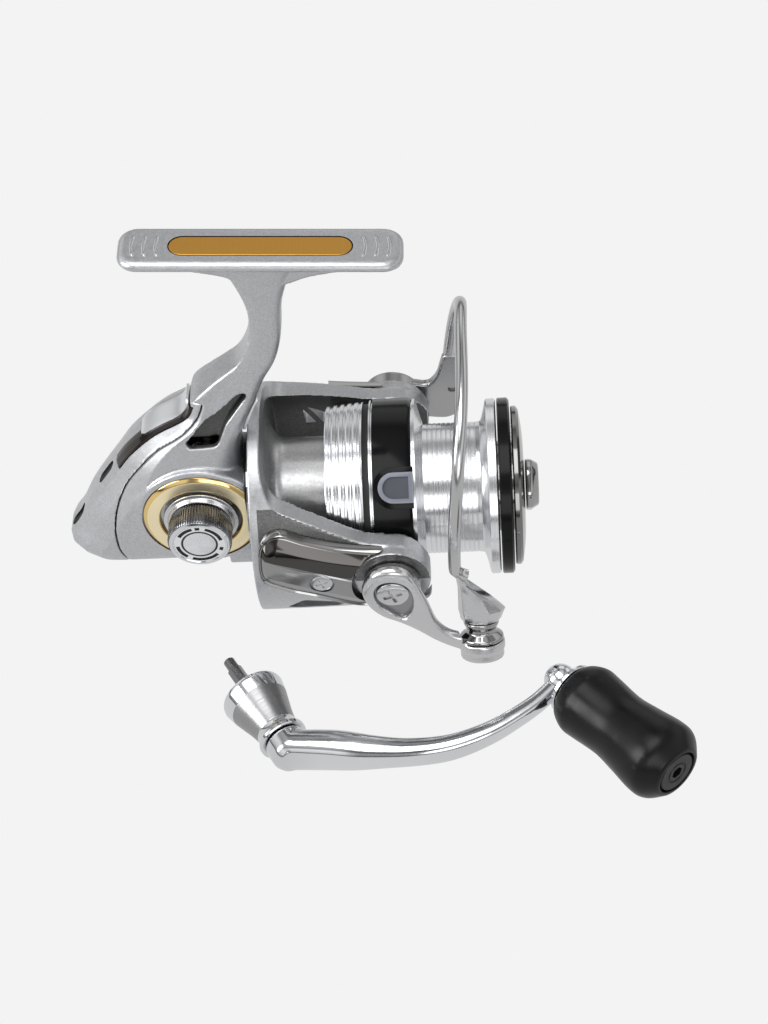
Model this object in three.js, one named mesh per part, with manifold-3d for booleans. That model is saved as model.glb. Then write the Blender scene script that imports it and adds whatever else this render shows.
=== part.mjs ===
// Spinning reel with its handle taken off, millimetres, +Z up out of the foot, +X to the front of the spool.
// The origin is the middle of the foot's top face. The drive stands in its own tilted group below the foot.
import * as THREE from 'three';
import { mergeVertices } from 'three/addons/utils/BufferGeometryUtils.js';
import Module from 'manifold-3d';

const wasm = await Module();
wasm.setup();

// Clearances, walls and the resolution of round pieces
const gap = 0.3;
const overrun = 2;
const wall = 1.8;
const weld = 0.0001;
const fine = 30;
const round = 16;
const small = 10;
const driveTilt = THREE.MathUtils.degToRad(3.5);

// Foot, stem and gear housing
const foot = { length: 63.6, width: 13.4, edge: 2.3, corner: 4.6, crown: 0.5, drop: 81 };
const footLabel = { length: 40.6, width: 6, depth: 0.5 };
const fairing = { lengthShare: 0.85, depth: 4.4, width: 7.6 };
const body = { reach: 51, rise: 68, halfWidth: 12.3, front: 5, roomLow: 0.16, roomHigh: 0.42, spine: 5,
  taper: 8 };
const flange = { radius: 16.2, length: 6 };
const sideCover = { depth: 3.2, top: 27 };
const coverScrew = { radius: 1.5, head: 2.3, length: 5, rise: 0.7 };
const tailStrip = { thickness: 0.9, lift: 0.4, near: 5.2, far: 0.8, depth: 5 };
const pocket = { depth: 3 };

// Drive train inside the housing
const axle = { back: 16.2, up: 6.5, radius: 3.7, bore: 2.2, halfLength: 12.6 };
const driveGear = { radius: 8.8, thickness: 2.2, face: 4.9, tooth: 0.8, teeth: 42, rim: 2.2 };
const bearing = { radius: 6.6, width: 3.4, groove: 0.5 };
const pinion = { tip: 3.3, root: 2.5, teeth: 8, back: 12, toothEnd: 8.2, twist: 0.9, neck: 3.1, front: 26.6 };
const clutch = { radius: 10.4, front: 6 };
const pinionBearing = { radius: 6.2, width: 2.2 };
const sealRing = { radius: 17.6, width: 1.3 };
const shaft = { radius: 1.6 };
const wiper = { pinionRadius: 5.1, gearShare: 0.21264, thickness: 1.8, face: 4.3, tooth: 0.7, pinionTeeth: 14,
  gearTeeth: 20 };
const wiperGear = { up: 1.7, axle: 1.5, throwShare: 0.7568, restShare: 0.8036, pin: 1, pinReach: 1.2 };
const slider = { length: 5, halfWidth: 2.6, top: 3.2, bottom: 9.4 };
const guide = { radius: 1.1, down: 7, clear: 5, front: 8.6 };
const axleCap = { ring: 14, ringHole: 9.8, ringDepth: 1.1, collar: 9, collarDepth: 2.4, rim: 1.3,
  rimDepth: 0.5 };
const dustCap = { radius: 7.7, length: 6.4, knurls: 30, knurl: 0.35, stem: 1.8, stemLength: 8, dish: 0.6 };

// Rotor
const rotor = { back: 3.4, plate: 2.9, inner: 24.2, outer: 28, front: 38.6, recess: 18.4, recessDepth: 1.4 };
const drum = { radius: 14, inner: 12.2, front: 24, cap: 3, hub: 3.7, flare: 5.5 };
const rotorNut = { across: 4.9, length: 2.4 };
const arm = { base: 19, waist: 9.5, length: 24, lowerBase: 18.6, lowerWaist: 16.4, lowerLength: 20 };
const pivot = { ahead: 29.5, radius: 9.4, face: 29.2 };
const armCover = { inner: 28.3, outer: 31, reach: 30 };
const smallScrew = { head: 2.6, headDepth: 0.7, shank: 1.2, length: 3.4, ahead: 12.8, farAhead: 17.4,
  up: 1.3 };

// Bail and line roller
const bail = { inner: 31.4, outer: 34.3, disc: 7.3, well: 5, wellDepth: 1.2, tip: 2.2 };
const bailScrew = { head: 3.9, headDepth: 1, shank: 2.2, depth: 4.6 };
const wire = { radius: 1.5, ahead: 48.3, side: 32.2, rise: 43.5 };
const roller = { ahead: 50, out: 30, down: 18.1, radius: 4.3, rim: 5.3, halfLength: 2.4, bore: 1.9 };
const rollerPin = { radius: 1.6, depth: 4 };
const rollerLean = THREE.MathUtils.degToRad(65);
const cone = { base: 4.9, belly: 5.7, rise: 16.4, back: 5, inward: 0.3 };

// Spool and drag
const spool = { back: 14.2, skirt: 21.2, swell: 21.9, inner: 19.7, band: 24.2, bandEnd: 35, arbor: 15.9 };
const arbor = { back: 37.6, front: 51.4 };
const lip = { radius: 21.4, back: 53, front: 55.5 };
const web = { back: 33, hollow: 48, hollowRadius: 14.2, hub: 7.6, bore: 1.9, hubBack: 29.4 };
const dragWell = { radius: 11.6 };
const skirtRib = { count: 5, depth: 0.45, front: 22.8 };
const band = { radius: 22.5, thickness: 0.6 };
const clip = { length: 8.4, width: 7.4, thickness: 0.8, ahead: 31.2 };
const lipRing = { radius: 21.5, inner: 12.6, thickness: 3 };
const dragKnob = { radius: 19.4, edge: 1.8, crown: 0.9, roof: 1.4, stem: 11, stemLength: 4.5 };
const grip = { length: 25, width: 12.6, height: 3.1, taper: 0.8 };
const washer = { radius: 10.9, inner: 2.2, thickness: 0.9, count: 3 };
const ratchet = { radius: 6.4, thickness: 1, teeth: 18, tooth: 0.5, ahead: 28.1 };

// Handle, taken off, with its place and directions below the reel
const handlePlace = new THREE.Vector3(5.5, -61.5, -103);
const handleAxis = new THREE.Vector3(0.496, -0.867, 0.04);
const handleReach = new THREE.Vector3(0.852, 0.495, 0.165);
const crank = { boss: 5.2, bossDepth: 6.2, reach: 62, offset: 21.4, thick: 3.3, slim: 2.1, ball: 3.9 };
const collar = { rim: 7.9, waist: 5.1, base: 6, back: 19.8, lip: 1, bore: 2.2 };
const stub = { radius: 1.9, tip: 1.4, length: 32.2, tipLength: 3 };
const knob = { length: 33.7, back: 7.6, swell: 8.9, waist: 8.3, front: 9.8, cap: 5.1, capDepth: 1.6,
  bore: 2.3 };
const knobTilt = THREE.MathUtils.degToRad(11);
const spindle = { radius: 2, length: 30 };
const knobWasher = { radius: 6.4, thickness: 0.9 };
const capSocket = { across: 1.25, depth: 1.2 };

// Places worked out from the sizes above
const nearFace = body.halfWidth;
const coverSeat = body.halfWidth - sideCover.depth;
const lipRingBack = lip.front + gap;
const lipRingFront = lipRingBack + lipRing.thickness;
const knobBack = lipRingFront + gap;
const knobFront = knobBack + dragKnob.edge;
const knobCrown = knobFront + dragKnob.crown;
const washerBack = knobBack - dragKnob.stemLength - washer.count * (washer.thickness + gap);
const wellBack = washerBack - gap;
const farCoverBack = smallScrew.farAhead - smallScrew.head - gap * 2;
const shaftFront = knobCrown - dragKnob.roof - gap;
const wiperRadius = (body.reach - axle.back) * wiper.gearShare;
const wiperReach = wiper.pinionRadius + wiperRadius + gap * 2;
const wiperBack = axle.back + Math.sqrt(wiperReach ** 2 - (axle.up - wiperGear.up) ** 2);
const wiperThrow = wiperRadius * wiperGear.throwShare;
const sliderRest = wiperBack + wiperThrow * wiperGear.restShare;
const shaftBack = sliderRest + slider.length / 2 + shaft.radius;
const axleAt = new THREE.Vector3(-axle.back, 0, axle.up);
const pivotAt = new THREE.Vector3(pivot.ahead, 0, 0);
const rollerAxis = new THREE.Vector3(0, Math.cos(rollerLean), Math.sin(rollerLean));
const rollerAt = new THREE.Vector3(roller.ahead, -roller.out, -roller.down);
const driveFrame = new THREE.Matrix4().makeRotationY(-driveTilt).setPosition(0, 0, -foot.drop);

// Geometry helpers
function closed(geometry) {
  const plain = geometry.clone();
  for (const name of Object.keys(plain.attributes)) {
    if (name !== 'position') plain.deleteAttribute(name);
  }
  const merged = mergeVertices(plain, weld);
  const index = merged.index.array;
  const kept = [];
  for (let i = 0; i < index.length; i += 3) {
    const [a, b, c] = [index[i], index[i + 1], index[i + 2]];
    if (a !== b && b !== c && c !== a) kept.push(a, b, c);
  }
  merged.setIndex(kept);
  return outward(merged);
}

function outward(geometry) {
  const position = geometry.attributes.position;
  const index = Array.from(geometry.index.array);
  const [a, b, c] = [new THREE.Vector3(), new THREE.Vector3(), new THREE.Vector3()];
  let volume = 0;
  for (let i = 0; i < index.length; i += 3) {
    a.fromBufferAttribute(position, index[i]);
    b.fromBufferAttribute(position, index[i + 1]);
    c.fromBufferAttribute(position, index[i + 2]);
    volume += a.dot(b.cross(c));
  }
  if (volume < 0) {
    for (let i = 0; i < index.length; i += 3) {
      [index[i + 1], index[i + 2]] = [index[i + 2], index[i + 1]];
    }
    geometry.setIndex(index);
  }
  return geometry;
}

function solid(geometry) {
  const shape = closed(geometry);
  const vertProperties = new Float32Array(shape.attributes.position.array);
  const triVerts = new Uint32Array(shape.index.array);
  return new wasm.Manifold(new wasm.Mesh({ numProp: 3, vertProperties, triVerts }));
}

function surface(manifold) {
  const mesh = manifold.getMesh();
  const geometry = new THREE.BufferGeometry();
  geometry.setAttribute('position', new THREE.BufferAttribute(new Float32Array(mesh.vertProperties), 3));
  geometry.setIndex(new THREE.BufferAttribute(new Uint32Array(mesh.triVerts), 1));
  return geometry;
}

function join(...pieces) {
  return surface(pieces.map(solid).reduce((sum, piece) => sum.add(piece)));
}

function cut(piece, ...cutters) {
  return surface(cutters.map(solid).reduce((rest, cutter) => rest.subtract(cutter), solid(piece)));
}

function common(...pieces) {
  return surface(pieces.map(solid).reduce((rest, piece) => rest.intersect(piece)));
}

function alongX(geometry) {
  return geometry.rotateZ(-Math.PI / 2);
}

function at(geometry, place) {
  return geometry.translate(place.x, place.y, place.z);
}

// A turned piece from [radius, place along the axis] pairs, about the X axis or the Y axis
function turned(profile, segments = round) {
  const points = profile.map(([radius, along]) => new THREE.Vector2(radius, along));
  if (profile[0][0] > 0) points.push(points[0].clone());
  return closed(new THREE.LatheGeometry(points, segments));
}

function turnedX(profile, segments = round) {
  return alongX(turned(profile, segments));
}

function rod(radius, from, to, segments = round) {
  return turned([[0, from], [radius, from], [radius, to], [0, to]], segments);
}

function rodX(radius, from, to, segments = round) {
  return alongX(rod(radius, from, to, segments));
}

function ring(outer, inner, from, to, segments = round) {
  return turned([[inner, from], [outer, from], [outer, to], [inner, to]], segments);
}

function ringX(outer, inner, from, to, segments = round) {
  return alongX(ring(outer, inner, from, to, segments));
}

// A plate with its outline in X and Z, from one Y to a larger one
function plate(outline, from, to) {
  const shape = new THREE.Shape(outline.map(([x, z]) => new THREE.Vector2(x, z)));
  const geometry = new THREE.ExtrudeGeometry(shape, { depth: to - from, bevelEnabled: false });
  return closed(geometry.rotateX(Math.PI / 2).translate(0, to, 0));
}

// A slab with its outline in X and Y, from one Z to a higher one
function slab(outline, from, to) {
  const shape = new THREE.Shape(outline.map(([x, y]) => new THREE.Vector2(x, y)));
  const geometry = new THREE.ExtrudeGeometry(shape, { depth: to - from, bevelEnabled: false });
  return closed(geometry.translate(0, 0, from));
}

// A block with its outline in Y and Z, along X
function bar(outline, from, to) {
  const shape = new THREE.Shape(outline.map(([y, z]) => new THREE.Vector2(y, z)));
  const geometry = new THREE.ExtrudeGeometry(shape, { depth: to - from, bevelEnabled: false });
  const turn = new THREE.Matrix4().makeBasis(
    new THREE.Vector3(0, 1, 0),
    new THREE.Vector3(0, 0, 1),
    new THREE.Vector3(1, 0, 0),
  );
  return closed(geometry.applyMatrix4(turn).translate(from, 0, 0));
}

function box(x0, x1, y0, y1, z0, z1) {
  return slab([[x0, y0], [x1, y0], [x1, y1], [x0, y1]], z0, z1);
}

function smoothLoop(points, count) {
  const knots = points.map(([a, b]) => new THREE.Vector3(a, b, 0));
  const loop = new THREE.CatmullRomCurve3(knots, true, 'centripetal');
  return loop.getSpacedPoints(count).slice(0, count).map((p) => [p.x, p.y]);
}

function circle(radius, count, centre = [0, 0]) {
  return Array.from({ length: count }, (_, i) => {
    const turn = (i / count) * Math.PI * 2;
    return [centre[0] + radius * Math.cos(turn), centre[1] + radius * Math.sin(turn)];
  });
}

function stadium(length, width, count) {
  const radius = width / 2;
  const half = length / 2 - radius;
  return Array.from({ length: count }, (_, i) => {
    const turn = ((i + 0.5) / count) * Math.PI * 2;
    return [Math.sign(Math.cos(turn)) * half + radius * Math.cos(turn), radius * Math.sin(turn)];
  });
}

// A closed skin over rings of equally many points, with a fan over each end
function skin(rings) {
  const count = rings[0].length;
  const positions = [];
  const index = [];
  for (const loop of rings) {
    for (const p of loop) positions.push(p.x, p.y, p.z);
  }
  for (let r = 0; r + 1 < rings.length; r += 1) {
    for (let i = 0; i < count; i += 1) {
      const a = r * count + i;
      const b = r * count + ((i + 1) % count);
      index.push(a, b, b + count, a, b + count, a + count);
    }
  }
  for (const r of [0, rings.length - 1]) {
    const middle = rings[r].reduce((sum, p) => sum.add(p), new THREE.Vector3()).divideScalar(count);
    const centre = positions.length / 3;
    positions.push(middle.x, middle.y, middle.z);
    for (let i = 0; i < count; i += 1) {
      const a = r * count + i;
      const b = r * count + ((i + 1) % count);
      if (r === 0) index.push(centre, b, a);
      else index.push(centre, a, b);
    }
  }
  const geometry = new THREE.BufferGeometry();
  geometry.setAttribute('position', new THREE.Float32BufferAttribute(positions, 3));
  geometry.setIndex(index);
  return outward(geometry);
}

// An oval ring of points about a centre, with two half axes given as vectors
function oval(centre, sideways, upwards, count, fullness = 1) {
  return Array.from({ length: count }, (_, i) => {
    const turn = (i / count) * Math.PI * 2;
    const c = Math.sign(Math.cos(turn)) * Math.abs(Math.cos(turn)) ** fullness;
    const s = Math.sign(Math.sin(turn)) * Math.abs(Math.sin(turn)) ** fullness;
    return centre.clone().addScaledVector(sideways, c).addScaledVector(upwards, s);
  });
}

// A limb of changing thickness along a path, with rings square to the path
function limb(points, widths, heights, side, count) {
  const path = new THREE.CatmullRomCurve3(points, false, 'centripetal');
  const rings = [];
  const steps = (points.length - 1) * 2;
  for (let i = 0; i <= steps; i += 1) {
    const share = i / steps;
    const centre = path.getPoint(share);
    const along = path.getTangent(share);
    const upwards = new THREE.Vector3().crossVectors(along, side).normalize();
    rings.push(oval(
      centre,
      side.clone().multiplyScalar(between(widths, share)),
      upwards.multiplyScalar(between(heights, share)),
      count,
    ));
  }
  return skin(rings);
}

function between(values, share) {
  const place = share * (values.length - 1);
  const low = Math.min(Math.floor(place), values.length - 2);
  return values[low] + (values[low + 1] - values[low]) * (place - low);
}

function tube(points, radius, sides, steps) {
  const path = new THREE.CatmullRomCurve3(points, false, 'centripetal');
  const section = new THREE.Shape(circle(radius, sides).map(([x, y]) => new THREE.Vector2(x, y)));
  return closed(new THREE.ExtrudeGeometry(section, { steps, extrudePath: path, bevelEnabled: false }));
}

function toothed(root, tip, count) {
  const outline = [];
  const step = (Math.PI * 2) / count;
  const shares = [[0.02, root], [0.35, tip], [0.65, tip], [0.98, root]];
  for (let i = 0; i < count; i += 1) {
    for (const [share, radius] of shares) {
      const turn = (i + share) * step;
      outline.push([radius * Math.cos(turn), radius * Math.sin(turn)]);
    }
  }
  return outline;
}

// The gear housing as level slices: height, rear end, front end and half width, as shares of the body's sizes
const sliceShares = [
  [-0.184, -0.863, -0.137, 0.61],
  [-0.155, -0.951, -0.106, 0.813],
  [-0.103, -0.995, -0.098, 0.943],
  [-0.03, -0.935, -0.098, 0.992],
  [0.06, -0.875, -0.098, 1],
  [0.147, -0.8, -0.098, 1],
  [0.235, -0.718, -0.11, 0.976],
  [0.323, -0.632, -0.11, 0.894],
  [0.412, -0.504, -0.082, 0.78],
  [0.486, -0.345, -0.043, 0.65],
  [0.56, -0.3, 0.004, 0.504],
  [0.632, -0.196, 0.047, 0.407],
  [0.706, -0.078, 0.102, 0.358],
  [0.78, -0.024, 0.133, 0.333],
  [0.853, 0, 0.149, 0.325],
  [0.926, 0.006, 0.157, 0.325],
  [1, -0.01, 0.176, 0.333],
  [1.09, -0.05, 0.22, 0.36],
  [1.165, -0.1, 0.29, 0.39],
];

// The rear half of a slice: place along the taper from the middle back, and place between spine and side
const rearShares = [[1.4, 1], [1, 0.97], [0.5, 0.6], [0.1, 0.06]];

function slicePlan(x0, x1, halfWidth, inset) {
  const middle = (x0 + x1) / 2;
  const taper = Math.min(body.taper, (middle - x0) / 2);
  const spine = Math.min(body.spine - inset / 2, halfWidth * 0.85);
  const front = oval(new THREE.Vector3(middle, 0, 0), new THREE.Vector3(middle - x0, 0, 0),
    new THREE.Vector3(0, halfWidth, 0), 24, 0.5).filter((p) => p.x > middle - weld);
  const ahead = [...front.filter((p) => p.y < 0), ...front.filter((p) => p.y >= 0)];
  const far = rearShares.map(([back, out]) => [x0 + back * taper, spine + (halfWidth - spine) * out]);
  const near = far.map(([x, y]) => [x, -y]).reverse();
  const back = [[x0, spine / 2], [x0, 0], [x0, -spine / 2]];
  return [...ahead.map((p) => [p.x, p.y]), ...far, ...back, ...near];
}

function housingSkin(inset, lowest, highest) {
  const rings = [];
  for (const [height, rear, front, width] of sliceShares) {
    const z = height * body.rise;
    if (z < lowest || z > highest) continue;
    const plan = slicePlan(rear * body.reach + inset, front * body.reach - inset,
      width * body.halfWidth - inset, inset);
    rings.push(plan.map(([x, y]) => new THREE.Vector3(x, y, z)));
  }
  return skin(rings);
}

// The line where the rear cover meets the housing, from the top down, as shares of the body's reach and rise
const tailShares = [
  [-0.25, 0.56], [-0.285, 0.5], [-0.35, 0.45], [-0.5, 0.37], [-0.635, 0.25],
  [-0.71, 0.14], [-0.741, 0.038], [-0.741, -0.06], [-0.72, -0.13], [-0.69, -0.24],
];

function tailRegion(shift) {
  const line = tailShares.map(([x, z]) => [x * body.reach + shift, z * body.rise]);
  const farRear = -body.reach - overrun * 4;
  const outline = [...line, [farRear, line[line.length - 1][1]], [farRear, line[0][1]]];
  return plate(outline, -body.halfWidth - overrun, body.halfWidth + overrun);
}

function gearRoom(inset) {
  return housingSkin(inset, -body.roomLow * body.rise, body.roomHigh * body.rise);
}

function sideRegion(inset) {
  const top = sideCover.top - inset;
  const low = -body.rise / 2;
  const shoulder = body.front * 2;
  const outline = [
    [-body.reach, low], [0, low], [0, top - shoulder], [-shoulder, top], [-body.reach, top],
  ];
  return plate(outline, coverSeat + inset, body.halfWidth + overrun);
}

function footPlate() {
  const outline = roundedPlan(foot.length, foot.width, foot.corner);
  const waist = roundedPlan(foot.length - foot.crown * 2, foot.width - foot.crown * 2,
    foot.corner - foot.crown);
  const level = (plan, z) => plan.map(([x, y]) => new THREE.Vector3(x, y, z));
  const rings = [
    level(waist, -foot.edge),
    level(outline, -foot.edge + foot.crown),
    level(outline, -foot.crown),
    level(waist, 0),
  ];
  return skin(rings);
}

function roundedPlan(length, width, corner) {
  const points = [];
  for (const [sx, sy, start] of [[1, 1, 0], [-1, 1, 1], [-1, -1, 2], [1, -1, 3]]) {
    for (let i = 0; i <= 4; i += 1) {
      const turn = (start + i / 4) * (Math.PI / 2);
      const x = sx * (length / 2 - corner) + corner * Math.cos(turn);
      const y = sy * (width / 2 - corner) + corner * Math.sin(turn);
      points.push([x, y]);
    }
  }
  return points;
}

function footFairing() {
  const half = (foot.length * fairing.lengthShare) / 2;
  const shares = [[-1, 0], [-0.32, 0.62], [-0.13, 1.3], [0.16, 1.3], [0.4, 0.62], [1, 0]];
  const outline = shares.map(([x, z]) => [x * half, -foot.edge - z * fairing.depth]);
  const top = -foot.edge / 2;
  return plate([[half, top], [-half, top], ...outline].reverse(), -fairing.width / 2, fairing.width / 2);
}

function footLabelRecess(extra) {
  const outline = stadium(footLabel.length + extra * 2, footLabel.width + extra * 2, 28);
  return slab(outline, -footLabel.depth, extra > 0 ? foot.edge : 0);
}

// The hollow in the near side under the stem, a cornered slot narrowing towards the stem
const pocketShares = [
  [-0.345, 0.422], [-0.327, 0.397], [-0.206, 0.401], [-0.19, 0.416], [-0.151, 0.484],
  [-0.041, 0.582], [-0.049, 0.597], [-0.08, 0.593], [-0.19, 0.526], [-0.235, 0.509],
];

function pocketCutter() {
  const outline = pocketShares.map(([x, z]) => [x * body.reach, z * body.rise]);
  const whole = plate(outline, -body.halfWidth - overrun, -wall);
  return cut(whole, housingSkin(pocket.depth, 0, body.rise));
}

function bodyHousing() {
  const room = gearRoom(wall);
  const bearingSeat = at(rod(bearing.radius + gap, -nearFace - overrun, -nearFace + bearing.width + gap),
    axleAt);
  const ringSeat = at(rod(axleCap.ring + gap, -nearFace - overrun, -nearFace + gap), axleAt);
  const shaftWay = at(rod(axle.radius + gap * 2, -nearFace, 0), axleAt);
  const gearBack = -driveGear.face - driveGear.thickness - gap;
  const gearWay = at(rod(driveGear.radius + gap * 2, gearBack, 0, fine), axleAt);
  const frontBore = rodX(pinionBearing.radius + gap, -body.front - flange.length, 0, round);
  const flangeRing = rodX(flange.radius, -body.front - flange.length, -body.front, fine);
  const collarSides = box(-body.reach, 0, -nearFace + gap, coverSeat, -body.rise, body.rise);
  const boss = at(rod(bearing.radius + wall, -nearFace + gap, -nearFace + bearing.width + wall / 2), axleAt);
  const collarPart = cut(common(flangeRing, collarSides), room);
  const rimBlank = at(rod(axleCap.ring + axleCap.rim, -nearFace - axleCap.rimDepth,
    -nearFace + bearing.width, fine), axleAt);
  const rimSide = box(-body.reach, -body.front, -nearFace * 2, 0, -body.rise, body.rise);
  const rim = cut(common(rimBlank, rimSide), room);
  const shell = cut(housingSkin(0, -body.rise, body.rise * 2), room, tailRegion(gap), sideRegion(0));
  const holes = coverScrewPlaces().map((place) => at(
    rod(coverScrew.radius + gap, body.halfWidth - coverScrew.length - overrun, body.halfWidth, small),
    place,
  ));
  const cutters = [bearingSeat, ringSeat, shaftWay, gearWay, frontBore, pocketCutter(), ...holes];
  const gearCase = cut(join(shell, collarPart, boss, rim), ...cutters);
  const inWorld = gearCase.applyMatrix4(driveFrame);
  return cut(join(inWorld, footFairing(), footPlate()), footLabelRecess(gap));
}

function coverScrewPlaces() {
  const shares = [[-0.16, -0.09], [-0.16, 0.33], [-0.56, 0.16]];
  return shares.map(([x, z]) => new THREE.Vector3(x * body.reach, 0, z * body.rise));
}

function sideCoverPlate() {
  const skinPart = common(housingSkin(0, -body.rise, body.rise), sideRegion(gap));
  const seat = at(rod(bearing.radius + gap, coverSeat - overrun, coverSeat + bearing.width), axleAt);
  const way = at(rod(axle.radius + gap * 2, 0, body.halfWidth + overrun), axleAt);
  const holes = coverScrewPlaces().map((place) => at(rod(coverScrew.radius + gap, 0,
    body.halfWidth + overrun, small), place));
  const flat = coverScrewPlaces().map((place) => at(
    rod(coverScrew.head + gap, body.halfWidth - coverScrew.rise - gap, body.halfWidth + overrun, small),
    place,
  ));
  return cut(skinPart, tailRegion(gap), seat, way, ...holes, ...flat);
}

function coverScrewSolid(place) {
  const top = body.halfWidth - coverScrew.rise / 2;
  const under = body.halfWidth - coverScrew.rise;
  const profile = [
    [0, under - coverScrew.length], [coverScrew.radius, under - coverScrew.length], [coverScrew.radius,
      under],
    [coverScrew.head, under], [coverScrew.head, top], [0, top],
  ];
  return at(turned(profile, small), place);
}

function rearCover() {
  const outer = common(housingSkin(0, -body.rise, body.rise), tailRegion(0));
  return cut(outer, gearRoom(wall), stripLayer(overrun, tailStrip.thickness - tailStrip.lift + gap, gap));
}

// The gloss strip lies in a groove on the near half of the rear cover's spine
const stripShares = [[-0.3, 0.537], [-0.345, 0.48], [-0.5, 0.415], [-0.632, 0.325], [-0.695, 0.255]];

function stripLayer(lift, depth, room) {
  const line = stripShares.map(([x, z]) => [x * body.reach, z * body.rise]);
  const [top, low] = [line[0], line[line.length - 1]];
  const inner = line.map(([x, z]) => [x + tailStrip.depth + room, z - tailStrip.depth / 2]);
  inner[0] = [top[0] + tailStrip.depth + room, top[1] + room];
  inner[inner.length - 1] = [low[0] + tailStrip.depth + room, low[1] - room];
  const farRear = -body.reach - overrun * 4;
  const outline = [[farRear, top[1] + room], ...inner, [farRear, low[1] - room]];
  const zone = plate(outline, -tailStrip.near - room, -tailStrip.far + room);
  return cut(common(housingSkin(-lift, 0, body.rise), zone), housingSkin(depth, -body.rise, body.rise));
}

function rearStrip() {
  return stripLayer(tailStrip.lift, tailStrip.thickness - tailStrip.lift, 0);
}

// Drive train
function driveShaft() {
  return at(ring(axle.radius, axle.bore, -axle.halfLength, axle.halfLength), axleAt);
}

function driveGearSolid() {
  const back = -driveGear.face - driveGear.thickness;
  const face = -driveGear.face;
  const hub = axle.radius + gap;
  const disc = ring(driveGear.radius, hub, back, face, fine);
  const inner = driveGear.radius - driveGear.rim;
  const crown = [];
  const step = (Math.PI * 2) / driveGear.teeth;
  for (let i = 0; i < driveGear.teeth; i += 1) {
    const tooth = [[inner, 0.15], [driveGear.radius, 0.15], [driveGear.radius, 0.6], [inner, 0.6]];
    const outline = tooth.map(([radius, share], corner) => {
      const lean = corner === 0 || corner === 3 ? -step : 0;
      const turn = (i + share) * step + lean;
      return [radius * Math.cos(turn), radius * Math.sin(turn)];
    });
    crown.push(plate(outline, face - driveGear.tooth, face + driveGear.tooth));
  }
  return at(join(disc, ...crown), axleAt);
}

function ballBearing(from, to) {
  const middle = (bearing.radius + axle.radius) / 2;
  const profile = [
    [axle.radius + gap, from], [middle - bearing.groove, from], [middle, from + bearing.groove],
    [middle + bearing.groove, from], [bearing.radius, from], [bearing.radius, to], [middle + bearing.groove,
      to],
    [middle, to - bearing.groove], [middle - bearing.groove, to], [axle.radius + gap, to],
  ];
  return at(turned(profile), axleAt);
}

function pinionGear() {
  const bore = shaft.radius + gap;
  const outline = toothed(pinion.root, pinion.tip, pinion.teeth);
  const from = -pinion.back;
  const to = -pinion.toothEnd;
  const rings = Array.from({ length: 6 }, (_, i) => {
    const share = i / 5;
    const turn = share * pinion.twist;
    const [c, s] = [Math.cos(turn), Math.sin(turn)];
    return outline.map(([y, z]) => new THREE.Vector3(from + (to - from) * share, y * c - z * s,
      y * s + z * c));
  });
  const neck = rodX(pinion.neck, to - gap, pinion.front, round);
  return cut(join(skin(rings), neck), rodX(bore, from - overrun, pinion.front + overrun, round));
}

function pinionBearingSolid() {
  const from = -body.front - wall;
  return ringX(pinionBearing.radius, pinion.neck + gap, from, from + pinionBearing.width - gap);
}

function clutchHousing() {
  const from = -body.front + pinionBearing.width - wall + gap;
  return ringX(clutch.radius, pinion.neck + gap, from, clutch.front);
}

function sealRingSolid() {
  const from = -body.front + gap;
  return ringX(sealRing.radius, clutch.radius + gap, from, from + sealRing.width, fine);
}

function wiperPinion() {
  const outline = toothed(wiper.pinionRadius - wiper.tooth, wiper.pinionRadius, wiper.pinionTeeth);
  const disc = plate(outline, wiper.face, wiper.face + wiper.thickness);
  const bore = rod(axle.radius + gap, 0, wiper.face + wiper.thickness + overrun);
  return at(cut(disc, bore), axleAt);
}

function oscillationGear() {
  const outline = toothed(wiperRadius - wiper.tooth, wiperRadius, wiper.gearTeeth);
  const disc = plate(outline, wiper.face, wiper.face + wiper.thickness);
  const bore = rod(wiperGear.axle + gap, 0, wiper.face + wiper.thickness + overrun, small);
  const along = wiperBack - sliderRest;
  const up = Math.sqrt(wiperThrow ** 2 - along ** 2);
  const pin = rod(wiperGear.pin, wiper.face - wiperGear.pinReach, wiper.face + gap, small).translate(along,
    0, up);
  return join(cut(disc, bore), pin).translate(-wiperBack, 0, wiperGear.up);
}

function oscillationAxle() {
  const from = wiper.face - gap;
  return rod(wiperGear.axle, from, coverSeat - gap, small).translate(-wiperBack, 0, wiperGear.up);
}

function sliderBlock() {
  const x0 = -sliderRest - slider.length / 2;
  const block = box(x0, x0 + slider.length, -slider.halfWidth, slider.halfWidth, -slider.bottom, slider.top);
  const shaftBore = rodX(shaft.radius + gap, x0 - overrun, x0 + slider.length + overrun, round);
  const guideBore = rodX(guide.radius + gap, x0 - overrun, x0 + slider.length + overrun, small).translate(0,
    0, -guide.down);
  return cut(block, shaftBore, guideBore);
}

function guideRod() {
  return rodX(guide.radius, -body.reach + guide.clear, -guide.front, small).translate(0, 0, -guide.down);
}

function mainShaft() {
  const flat = gap;
  const profile = [
    [0, -shaftBack], [shaft.radius - flat, -shaftBack], [shaft.radius, -shaftBack + flat],
    [shaft.radius, shaftFront - flat], [shaft.radius - flat, shaftFront], [0, shaftFront],
  ];
  return turnedX(profile, round);
}

function goldRing() {
  const inner = axleCap.ringHole;
  const step = axleCap.ringDepth / 3;
  const profile = [
    [inner, -nearFace - axleCap.ringDepth + step], [inner + step, -nearFace - axleCap.ringDepth],
    [axleCap.ring - step * 3, -nearFace - axleCap.ringDepth], [axleCap.ring, -nearFace - step],
    [axleCap.ring, -nearFace], [inner, -nearFace],
  ];
  const trim = box(-body.front, body.front * 2, -nearFace * 2, 0, -body.rise, body.rise);
  return cut(at(turned(profile, fine), axleAt), trim);
}

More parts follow.
